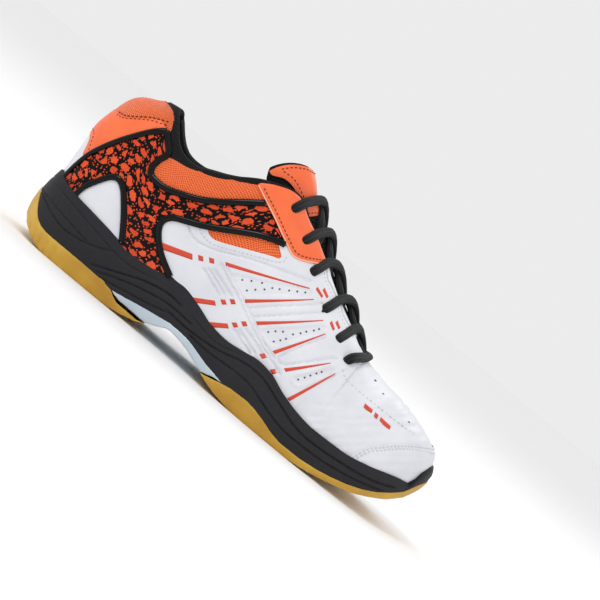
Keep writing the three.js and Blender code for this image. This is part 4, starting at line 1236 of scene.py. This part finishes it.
# ---------------------------------------- stitching and edges of the upper
CUT_EDGE_LINE = [(100.5, 111.2), (110, 106.9), (120, 102.6), (130, 97.6), (137, 94.2), (141, 92.5),
                 (145, 92.4), (150, 94.1), (155, 96.5), (160.2, 98.8), (161.3, 100.4),
                 (160.2, 101.4)]
EYESTAY_SEAM = [(103.5, 112), (111, 108.8), (121, 104.4), (131, 99.4), (137.5, 96.3), (141.3, 94.7),
                (145, 94.5), (150, 96.2), (154.5, 98.5), (158, 100.3)]
HEEL_SEAMS = [[(-1, 74.6), (5.6, 73), (8.4, 67.6), (11, 62)],
              [(9, 91.6), (14, 92.6), (20, 96.6), (27, 101.6), (33, 104.6), (38, 107)],
              [(9, 89.8), (14, 90.8), (20, 94.8), (27, 99.6), (33, 102.4), (37, 104)]]
WINDOW_SEAM = [(88, 72.3), (90.3, 70), (94, 68.4), (100.4, 67.8), (106, 69.4), (112, 72.2),
               (120, 75.9), (129.1, 79.9), (137, 83.4), (140.3, 86.5), (139.6, 89.6)]
TAB_EDGES = [[(160.6, 100.2), (166, 94.3), (170, 92.4), (180, 87.5), (182.5, 87)],
             [(183, 86.3), (187, 83.2), (198, 78.8), (201, 78)]]
CAP_SEAM = [(242.3, 24), (245, 31), (247.7, 36), (251.5, 39.2), (255, 42.7), (261, 47.7),
            (267, 51.5), (272, 53.8), (277, 55.4), (283, 55.6)]
VAMP_SEAM = [(206.5, 60.2), (210, 57.5), (215, 56.3), (225, 55.7), (240, 55.7), (252, 55.9),
             (264, 56.3)]


def inward(line, distance):
    """A side-view line moved to its left by distance."""
    line = np.asarray(line, float)
    run = np.gradient(line, axis=0)
    run /= np.linalg.norm(run, axis=1)[:, None]
    return line + distance * np.stack([-run[:, 1], run[:, 0]], axis=-1)


white_stitches, dark_stitches, edges = [], [], []
for side in (LATERAL, MEDIAL):
    path, normal = surface_path(side, CUT_EDGE_LINE, EYESTAY_LIFT * 0.75)
    edges.append(tube(path, 0.55, 6, 1.2, normal))
    dark_stitches += stitches(side, EYESTAY_SEAM, EYESTAY_LIFT + 0.3, 1.7, 1.0, 0.28)
    for line in HEEL_SEAMS:
        dark_stitches += stitches(side, line, 1.2, 1.7, 1.0, 0.3)
    white_stitches += stitches(side, WINDOW_SEAM, 0.85, 1.5, 1.0, 0.28)
    for line in TAB_EDGES:
        path, normal = surface_path(side, line, 0.8)
        white_stitches.append(tube(path, 0.7, 6, 0.8, normal))
        white_stitches += stitches(side, inward(line, -1.6), 0.95, 1.5, 0.9, 0.26)
    for distance in (-1.0, -2.7):
        white_stitches += stitches(side, inward(CAP_SEAM, distance), 1.3, 1.5, 1.0, 0.3)
    white_stitches += stitches(side, VAMP_SEAM, 0.55, 1.8, 1.2, 0.3)
joined("eyestay_cut_edge", edges, CUT_EDGE)
joined("stitching_dark", dark_stitches, DARK_THREAD)
joined("stitching_white", white_stitches, WHITE_THREAD)

# ---------------------------------------- the sole
wall_inset = Curve((0, 2.2), (0.15, 0.9), (0.45, 0), (0.8, 0.8), (1, 2.3))
gum_heel_top = [(0, 28.4), (1, 28), (4, 24.5), (7, 20), (10, 16.5), (13, 14), (17, 12.3),
                (22, 11.5), (50, 11.5), (66, 11), (73, 9.8), (76, 7.5), (80, 5.8), (95, 5.5),
                (100, 6.5)]
gum_heel_under = [(0, 26), (0.5, 25), (2, 17), (4, 11.5), (8, 7.5), (12, 5), (16, 3), (22, 0.7),
                  (28, 0), (75, 0), (85, 1.5), (95, 4), (100, 6.5)]
shank_top = [(73, 9.8), (80, 11), (90, 13.2), (105, 15.8), (112, 16.8), (120, 16.8), (127, 16.3),
             (135, 14.5), (143, 12.5), (150, 11.3), (158, 9.8)]
shank_under = [(73, 9.8), (76, 8.6), (80, 7.6), (95, 7.1), (100, 7), (106, 9.5), (112, 12.6),
               (116, 13), (124, 12), (131, 10.5), (138, 8), (144, 6.5), (152, 9.2), (158, 9.9)]
gum_front_top = [(144, 6), (152, 8), (158, 9.8), (163, 11), (175, 11.8), (182, 11), (190, 9),
                 (197, 6.7), (205, 5.2), (220, 5.3), (232, 6.5), (240, 8), (250, 10.5), (260, 13.8),
                 (268, 17.5), (275, 22), (281, 26.5), (286, 34.5), (290, 38.5), (291, 39)]
gum_front_under = [(144, 6), (150, 3.8), (157, 2), (165, 0.8), (172, 0), (214, 0), (225, 1),
                   (235, 2.6), (246, 5.2), (255, 7.5), (265, 11.5), (275, 16.5), (283, 23),
                   (288, 31), (290.5, 38), (291, 38.4)]


HEEL_PAD_END, SHANK_START, FRONT_PAD_START, SHANK_END = 100, 73, 144, 158


def at_line(line, x):
    """The height at x of a side-view line of straight pieces."""
    points = np.asarray(line, float)
    return np.interp(x, points[:, 0], points[:, 1])


def wall_bottom(x):
    return np.maximum(-0.5, toe_spring(x))


def wall_point(side, u, level, out=0.0):
    """A point of the sole's outer wall at station u and level 0 to 1, moved outward by out."""
    x, _ = outline_point(side, u, 0)
    inset = wall_inset(level)
    soft = np.where((x > 250) & (level < 0.4), np.maximum(0, 1 - (x - 250) / 30), 1)
    x, y = outline_point(side, u, inset * soft - out)
    z = mix(wall_bottom(x), midsole_top(x), level)
    return np.stack([x, y, z], axis=-1)


SCULPT = [  # pressed lines of the midsole's wall with their depths
    ([(3, 28), (20, 25.5), (45, 22)], 0.7),
    ([(3, 26.5), (20, 20.5), (30, 19.2), (40, 20.3), (50, 23), (60, 28)], 0.9),
    ([(55, 14), (70, 20), (85, 26), (100, 29), (110, 28.5)], 1.0),
    ([(60, 12.5), (75, 18), (90, 22), (105, 24.5), (122, 24)], 0.9),
    ([(65, 11), (80, 14), (95, 17), (110, 21)], 0.8),
    ([(106, 21), (125, 20.5), (145, 23), (160, 27), (175, 27), (190, 22.5), (210, 17), (235, 17.5),
      (260, 21), (275, 25.5)], 1.0),
    ([(125, 18.6), (140, 18), (155, 19.5), (170, 19.5), (185, 15.5), (200, 12), (215, 11.5),
      (235, 12.5), (255, 16), (270, 20)], 0.9),
    ([(120, 27.5), (140, 25), (158, 30), (175, 29.8), (190, 25)], 0.6),
    ([(2, 36.5), (20, 34), (45, 30), (70, 27), (90, 31)], 0.6),
]


SCULPT_WIDTH, SCULPT_STRENGTH = 0.62, 1.15


def wall_sculpt(x, z):
    """Depth of the lines pressed into the midsole's wall."""
    press = np.zeros(len(x))
    for line, depth in SCULPT:
        press = np.minimum(press, groove(x, z, spline(line, 4), SCULPT_WIDTH, depth * SCULPT_STRENGTH))
    return press


def midsole_start(side, u):
    """The level at which the wall leaves the gum or the shank, a little inside them."""
    levels = np.linspace(0, 0.95, 200)
    start = np.zeros_like(u)
    for level in levels:
        wall = wall_point(side, u, np.full_like(u, level))
        line = np.maximum(at_line(gum_heel_top, wall[:, 0]), 0)
        line = np.where(wall[:, 0] > SHANK_START, at_line(shank_top, wall[:, 0]), line)
        line = np.where(wall[:, 0] > SHANK_END, at_line(gum_front_top, wall[:, 0]), line)
        start = np.where(wall[:, 2] < line - 0.8, level, start)
    return start


def midsole_part(side):
    """One half of the midsole's skin: the sculpted wall, its rim and the lip down to the upper."""
    flat = np.concatenate([np.linspace(0, HEEL_SPAN, 49)[:-1],
                           np.linspace(HEEL_SPAN, HEEL_SPAN + SIDE_SPAN, 190)[:-1],
                           np.linspace(HEEL_SPAN + SIDE_SPAN, HEEL_SPAN + SIDE_SPAN + TOE_SPAN, 70)])
    u, _ = from_flat(np.stack([flat, np.zeros_like(flat)], axis=-1))
    rings = []
    start = midsole_start(side, u)
    levels = np.concatenate([np.linspace(0, 0.92, 46), [0.95, 0.975, 0.99, 1.0]])
    for share in levels:
        level = mix(start, 1, share)
        plain = wall_point(side, u, level)
        press = wall_sculpt(plain[:, 0], plain[:, 2]) * (1 - smoothstep(level, 0.88, 0.96))
        rings.append(wall_point(side, u, level, press))
    top = rings[-1]
    low = np.zeros_like(u)
    high = np.full_like(u, 0.6)
    for _ in range(18):
        middle = (low + high) / 2
        below = upper(side, u, middle)[:, 2] < midsole_top(top[:, 0]) - 0.4
        low, high = np.where(below, middle, low), np.where(below, high, middle)
    foot = upper(side, u, low, -0.2)
    mid = (top + foot) / 2 + [0, 0, 0.45]
    mid_out = top * 0.8 + foot * 0.2 + np.array([0, 0, 0.35])
    deep = upper(side, u, np.maximum(low - 0.04, 0), 1.0)
    rings += [mid_out, mid, foot, deep]
    count, width = len(rings), len(u)
    uv = np.stack([np.tile(flat, count), np.repeat(np.arange(count) * 1.1, width)], axis=-1)
    return np.concatenate(rings), grid_faces(count, width), uv


TREAD_PITCH, RING_PITCH, GROOVE_EDGE = 6.4, 6, (0.4, 0.9)
PIVOT_X, PIVOT_Y, PIVOT_RADIUS = 212, 6, 19


def tread(x, y, kind):
    """Share of the tread's depth at points of the underside: slanted lines, and rings at the pivot."""
    lean = np.abs(y) * 0.55 if kind == "heel" else -np.abs(y - 2) * 0.6
    wave = np.abs((x * 0.8 + lean) % TREAD_PITCH - TREAD_PITCH / 2)
    lines = 1 - smoothstep(wave, *GROOVE_EDGE)
    pivot = np.hypot(x - PIVOT_X, y - PIVOT_Y)
    ring = 1 - smoothstep(np.abs(pivot % RING_PITCH - RING_PITCH / 2), *GROOVE_EDGE)
    pads = smoothstep(x, HEEL_PAD_END - 1.5, HEEL_PAD_END - 5)
    pads += smoothstep(x, FRONT_PAD_START + 1.5, FRONT_PAD_START + 5)
    return np.where(pivot < PIVOT_RADIUS, ring, lines) * pads


NOTCHES = (13, 17.5, 22, 27, 32.5)
NOTCH_LEAN, NOTCH_DEPTH, TREAD_DEPTH = 0.25, 0.9, 0.9
SEATED = -0.2  # how far a sole piece's top edge lies inside the wall


def sole_part(top_line_points, under_line_points, proud, pattern, start, end, notches=()):
    """A wrap-round sole piece between two side-view lines: both walls and the underside."""
    flat_start, flat_end = to_flat(start, 0)[0], to_flat(end, 0)[0]
    flat = np.linspace(flat_start, flat_end, max(20, int(flat_end - flat_start)))
    u, _ = from_flat(np.stack([flat, np.zeros_like(flat)], axis=-1))
    steps, across = 11, 61
    rows = []
    levels = np.linspace(0, 1, 220)
    for station in u:
        halves = []
        for side in (LATERAL, MEDIAL):
            wall = wall_point(side, np.full_like(levels, station), levels)
            wall = np.vstack([[wall[0][0], wall[0][1], wall_bottom(wall[0][0]) - 3], wall])
            upper_line = at_line(top_line_points, wall[:, 0])
            under = at_line(under_line_points, wall[:, 0])
            good = (wall[:, 2] <= upper_line) & (wall[:, 2] >= under)
            if good.any():
                z_low, z_high = wall[good][0][2], wall[good][-1][2]
            else:
                gap = np.abs(wall[:, 2] - upper_line)
                z_low = z_high = wall[gap.argmin()][2]
            z = np.linspace(z_high, z_low, steps)
            x = np.interp(z, wall[:, 2], wall[:, 0])
            y = np.interp(z, wall[:, 2], wall[:, 1])
            nx, ny = outline_point(side, station, -1)
            ox, oy = outline_point(side, station, 0)
            direction = np.array([nx - ox, ny - oy])
            direction = direction / (np.linalg.norm(direction) + 1e-9)
            out = proud * np.sqrt(np.clip((z_high - z) / 0.9, 0, 1)) + SEATED * (z_high - z < 0.01)
            if z_high - z_low > 2:
                out -= 0.5 * smoothstep(z, z_low + 0.8, z_low)
            for at in notches:
                slant = x - at + (z - 3) * NOTCH_LEAN
                out -= NOTCH_DEPTH * np.exp(-(slant / 0.9) ** 2) * smoothstep(z, 9.5, 7)
            halves.append(np.stack([x + direction[0] * out, y + direction[1] * out, z], axis=-1))
        left, right_half = halves
        t = np.linspace(0, 1, across)[1:-1]
        under_points = left[-1] + t[:, None] * (right_half[-1] - left[-1])
        under_z = at_line(under_line_points, under_points[:, 0])
        width = abs(right_half[-1][1] - left[-1][1])
        edge = np.minimum(t, 1 - t) * width
        soft = smoothstep(edge, 0, 1.5)
        under_points[:, 2] = mix(under_points[:, 2], under_z, soft)
        if pattern:
            depth = tread(under_points[:, 0], under_points[:, 1], pattern)
            under_points[:, 2] += TREAD_DEPTH * depth * smoothstep(edge, 3, 4.5) * min(1, width / 30)
        rows.append(np.concatenate([left, under_points, right_half[::-1]]))
    return sheet(rows)


def station_at(x):
    """The station along the side at which the outline's pivot line has the given x."""
    return 1 + (x - HEEL_X) / (TOE_X - HEEL_X)


joined("midsole_skin", [midsole_part(LATERAL), midsole_part(MEDIAL)], FOAM,
       nodes=("midsole",), sharp=55)
gum_heel = sole_part(gum_heel_top, gum_heel_under, 0.45, "heel", 0.0, station_at(HEEL_PAD_END), NOTCHES)
joined("gum_heel", [gum_heel], GUM, nodes=("outsole_heel",), sharp=40)
gum_front = sole_part(gum_front_top, gum_front_under, 0.45, "front", station_at(FRONT_PAD_START), 3.0)
joined("gum_forefoot", [gum_front], GUM, nodes=("outsole_forefoot",), sharp=40)
shank = sole_part(shank_top, shank_under, 0.2, None, station_at(SHANK_START), station_at(SHANK_END))
joined("shank_skin", [shank], SHANK, nodes=("arch_shank",), sharp=50)

# ---------------------------------------- the collar, the linings and the sock liner
def collar_pad(x, v):
    """Thickness of the collar's padding, thickest a little below the top line."""
    rise = smoothstep(v, 0.38, 0.74)
    return COLLAR_PAD * smoothstep(112 - x, 0, 24) * rise * mix(1, 0.45, smoothstep(v, 0.86, 1.0))


def lining_depth(x, v):
    """Depth of the lining's inner face below the upper's surface."""
    return OUTER + GAP + BACKING + GAP + collar_pad(x, v)


def lining_part(side, u, rolled):
    """The lining inside one side: from the roll over the top line down to the footbed."""
    x = plan_x(u)
    rings = []
    thick = lining_depth(x, 1.0)
    if rolled:
        rings.append(upper(side, u, np.full_like(u, 0.93), 0.7))
        rings.append(upper(side, u, np.full_like(u, 0.965), 0.1))
        for turn in np.linspace(0, math.pi, 9)[1:-1]:
            depth = thick / 2 - (thick / 2 + 0.35) * math.cos(turn)
            crown = upper(side, u, np.ones_like(u), depth)
            crown[:, 2] += (thick / 2 + 0.2) * math.sin(turn) * 0.85 - 0.9
            rings.append(crown)
    for v in np.linspace(0.985 if rolled else 0.995, 0.03, 30):
        rings.append(upper(side, u, np.full_like(u, v), lining_depth(x, v)))
    count, width = len(rings), len(u)
    flat = to_flat(u, np.zeros_like(u))[:, 0]
    uv = np.stack([np.tile(flat, count), np.repeat(np.arange(count) * 2.6, width)], axis=-1)
    return np.concatenate(rings), grid_faces(count, width), uv


ROLL_END, THROAT_STATION = station_at(150), station_at(THROAT_END - 1)
collar_stations = np.concatenate([np.linspace(0, 1, 40), np.linspace(1, ROLL_END, 60)[1:]])
side_stations = np.linspace(ROLL_END - 0.002, THROAT_STATION, 60)
toe_stations = np.concatenate([np.linspace(THROAT_STATION, 2, 20), np.linspace(2, 3, 40)[1:]])
collar_sides = [lining_part(side, collar_stations, True) for side in (LATERAL, MEDIAL)]
collar = joined("collar_lining", collar_sides, LINING_CLOTH,
                nodes=("heel_lining", "collar_foam"))
for side in (LATERAL, MEDIAL):
    name = SIDE_NAME[side]
    joined(f"lining_skin_{name}", [lining_part(side, side_stations, False)], LINING_CLOTH,
           nodes=(f"lining_{name}", f"quarter_foam_{name}"))
joined("vamp_lining_skin", [lining_part(side, toe_stations, False) for side in (LATERAL, MEDIAL)],
       LINING_CLOTH, nodes=("vamp_lining",))


def sock_part():
    """The sock liner: a dished sheet inside the outline, with a turned-down edge."""
    inset = WALL + OUTER + BACKING + LINING + 3.4
    u = np.concatenate([np.linspace(0, 1, 40)[:-1], np.linspace(1, 2, 110)[:-1], np.linspace(2, 3, 50)])
    rows = []
    t = np.linspace(-1, 1, 41)
    for station in u:
        lx, ly = outline_point(LATERAL, station, inset)
        mx, my = outline_point(MEDIAL, station, inset)
        x = mix(lx, mx, (t + 1) / 2)
        y = mix(ly, my, (t + 1) / 2)
        z = footbed(x) + 5.6 + 1.6 * np.abs(t) ** 3 * (1 - smoothstep(x, 200, 260))
        z = np.where(np.abs(t) > 0.99, z - 2, z)
        rows.append(np.stack([x, y, z], axis=-1))
    return sheet(rows)


joined("sock_liner_skin", [sock_part()], LINING_CLOTH, nodes=("sock_liner",))


# ---------------------------------------- the tongue
TONGUE_TOP, TONGUE_TIP = 117.9, 212
EAR_LENGTH = 10.5  # how far the top's corners stand past its middle


def tongue_height(t):
    """The tongue's centreline, carried straight on past its top end."""
    return tongue_line(t) + 0.87 * np.maximum(0, 119 - np.asarray(t, float))


def tongue_frame(t):
    """The x and z of the tongue's outward normal at station t."""
    slope = tongue_height(t + 0.5) - tongue_height(t - 0.5)
    size = np.hypot(slope, 1)
    return -slope / size, 1 / size


def tongue_point(t, q, depth):
    """A point of the tongue at station t, width fraction q and depth below its top face."""
    t, q, depth = np.broadcast_arrays(*(np.asarray(a, float) for a in (t, q, depth)))
    free = 1 - smoothstep(t, 122, 146)
    nx, nz = tongue_frame(t)
    bend = tongue_bend(t)
    across = q * tongue_half(t)
    lean = 2 * bend * across
    drop = bend * tongue_half(t) ** 2 * np.abs(q) ** (2 + 2 * free)
    reach = depth / np.hypot(1, lean)
    ears = EAR_LENGTH * free * np.abs(q) ** 2.2 * (1 - 0.6 * np.abs(q) ** 8)
    return np.stack([t - nx * (drop + reach) - nz * ears, crest_y(t) + across - lean * reach,
                     tongue_height(t) - nz * (drop + reach) + nx * ears], axis=-1)


def tongue_part():
    """The padded tongue: quilted top face, rolled edges, lining beneath."""
    stations = np.linspace(TONGUE_TOP, TONGUE_TIP, 110)
    width = 64
    angle = np.linspace(0, 2 * math.pi, width, endpoint=False)
    rows = []
    for t in stations:
        thick = 2.4 + float(tongue_foam(t))
        q = np.sign(np.cos(angle)) * np.abs(np.cos(angle)) ** 0.55
        lift = np.sin(angle)
        half = np.sign(lift) * np.abs(lift) ** 0.6
        puff = 0.45 * np.cos(q * math.pi * 2.5) * np.clip(half, 0, 1) * (1 - np.abs(q) ** 4)
        end = min(1.0, math.sqrt((t - TONGUE_TOP + 0.2) / 4.0))
        centre = thick * mix(0.22, 0.5, end)
        depth = centre - half * thick / 2 * end - puff * smoothstep(t, 140, 150)
        rows.append(tongue_point(t, q * (0.965 + 0.035 * end), depth))
    ends = [rows[0].mean(axis=0), rows[-1].mean(axis=0)]
    faces = grid_faces(len(stations), width, wrap=True)
    total = len(stations) * width
    faces += [(total, (k + 1) % width, k) for k in range(width)]
    base = total - width
    faces += [(total + 1, base + k, base + (k + 1) % width) for k in range(width)]
    around = np.tile(np.arange(width) * 1.4, len(stations))
    uv = np.stack([np.repeat(stations, width), around], axis=-1)
    uv = np.vstack([uv, [TONGUE_TOP, 0], [TONGUE_TIP, 0]])
    return np.concatenate(rows + [np.array(ends)]), faces, uv


FACING_TOP, FACING_END = 118.9, 138.5


def facing_half(t):
    """Half the facing's width, as a fraction of the tongue's."""
    return mix(0.99, 0.64, smoothstep(t, FACING_TOP, FACING_END))


def facing_part():
    """The orange facing on the tongue's top end, wrapped to its very edge."""
    stations = np.linspace(FACING_TOP, FACING_END, 24)
    share = np.linspace(-1, 1, 41)
    rows = []
    for t in stations:
        near = np.minimum(1 - np.abs(share), min(t - FACING_TOP, FACING_END - t) / 20)
        rows.append(tongue_point(t, share * facing_half(t), -0.55 - 0.55 * smoothstep(near, 0, 0.05)))
    return sheet(rows)


cushion = joined("tongue_cushion", [tongue_part()], BLACK_MESH, body="tongue",
                 nodes=("tongue_cover", "tongue_foam", "tongue_lining"))
joined("tongue_facing_skin", [facing_part()], ORANGE, body="tongue",
       nodes=("tongue_facing",))
facing_edges = [(t, np.linspace(-0.93, 0.93, 80)) for t in (FACING_TOP + 1.3, FACING_END - 1.3)]
facing_edges += [(np.linspace(FACING_TOP + 2, FACING_END - 2, 30), edge) for edge in (-0.92, 0.92)]
tongue_seams = []
for t, share in facing_edges:
    q = share * facing_half(t)
    seam = tongue_point(t, q, -1.2)
    tongue_seams += stitch_row(seam, tongue_point(t, q, -2.2) - seam, 1.7, 1.0, 0.3)
joined("tongue_stitching", tongue_seams, DARK_THREAD, body="tongue")


# ---------------------------------------- the hidden layers keep their CAD meshes
BOARD = plain_look("board_fibre", srgb(168, 150, 120), srgb(148, 128, 98), 0.85, 0.4, 0.1).material
STIFFENER = plain_look("stiffener", srgb(206, 204, 196), srgb(184, 182, 172), 0.7, 0.5, 0.08).material
STAY = plain_look("stay_webbing", srgb(22, 22, 24), srgb(32, 32, 34), 0.85, 0.6, 0.1,
                  specular=0.2).material
HIDDEN = {"lasting_board": BOARD, "heel_counter": STIFFENER, "toe_puff": STIFFENER,
          "eyestay_stay_lateral": STAY, "eyestay_stay_medial": STAY}
for piece in bpy.context.scene.objects:
    for material_slot in piece.material_slots:
        material_slot.material = HIDDEN.get(piece.get("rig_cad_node"), material_slot.material)
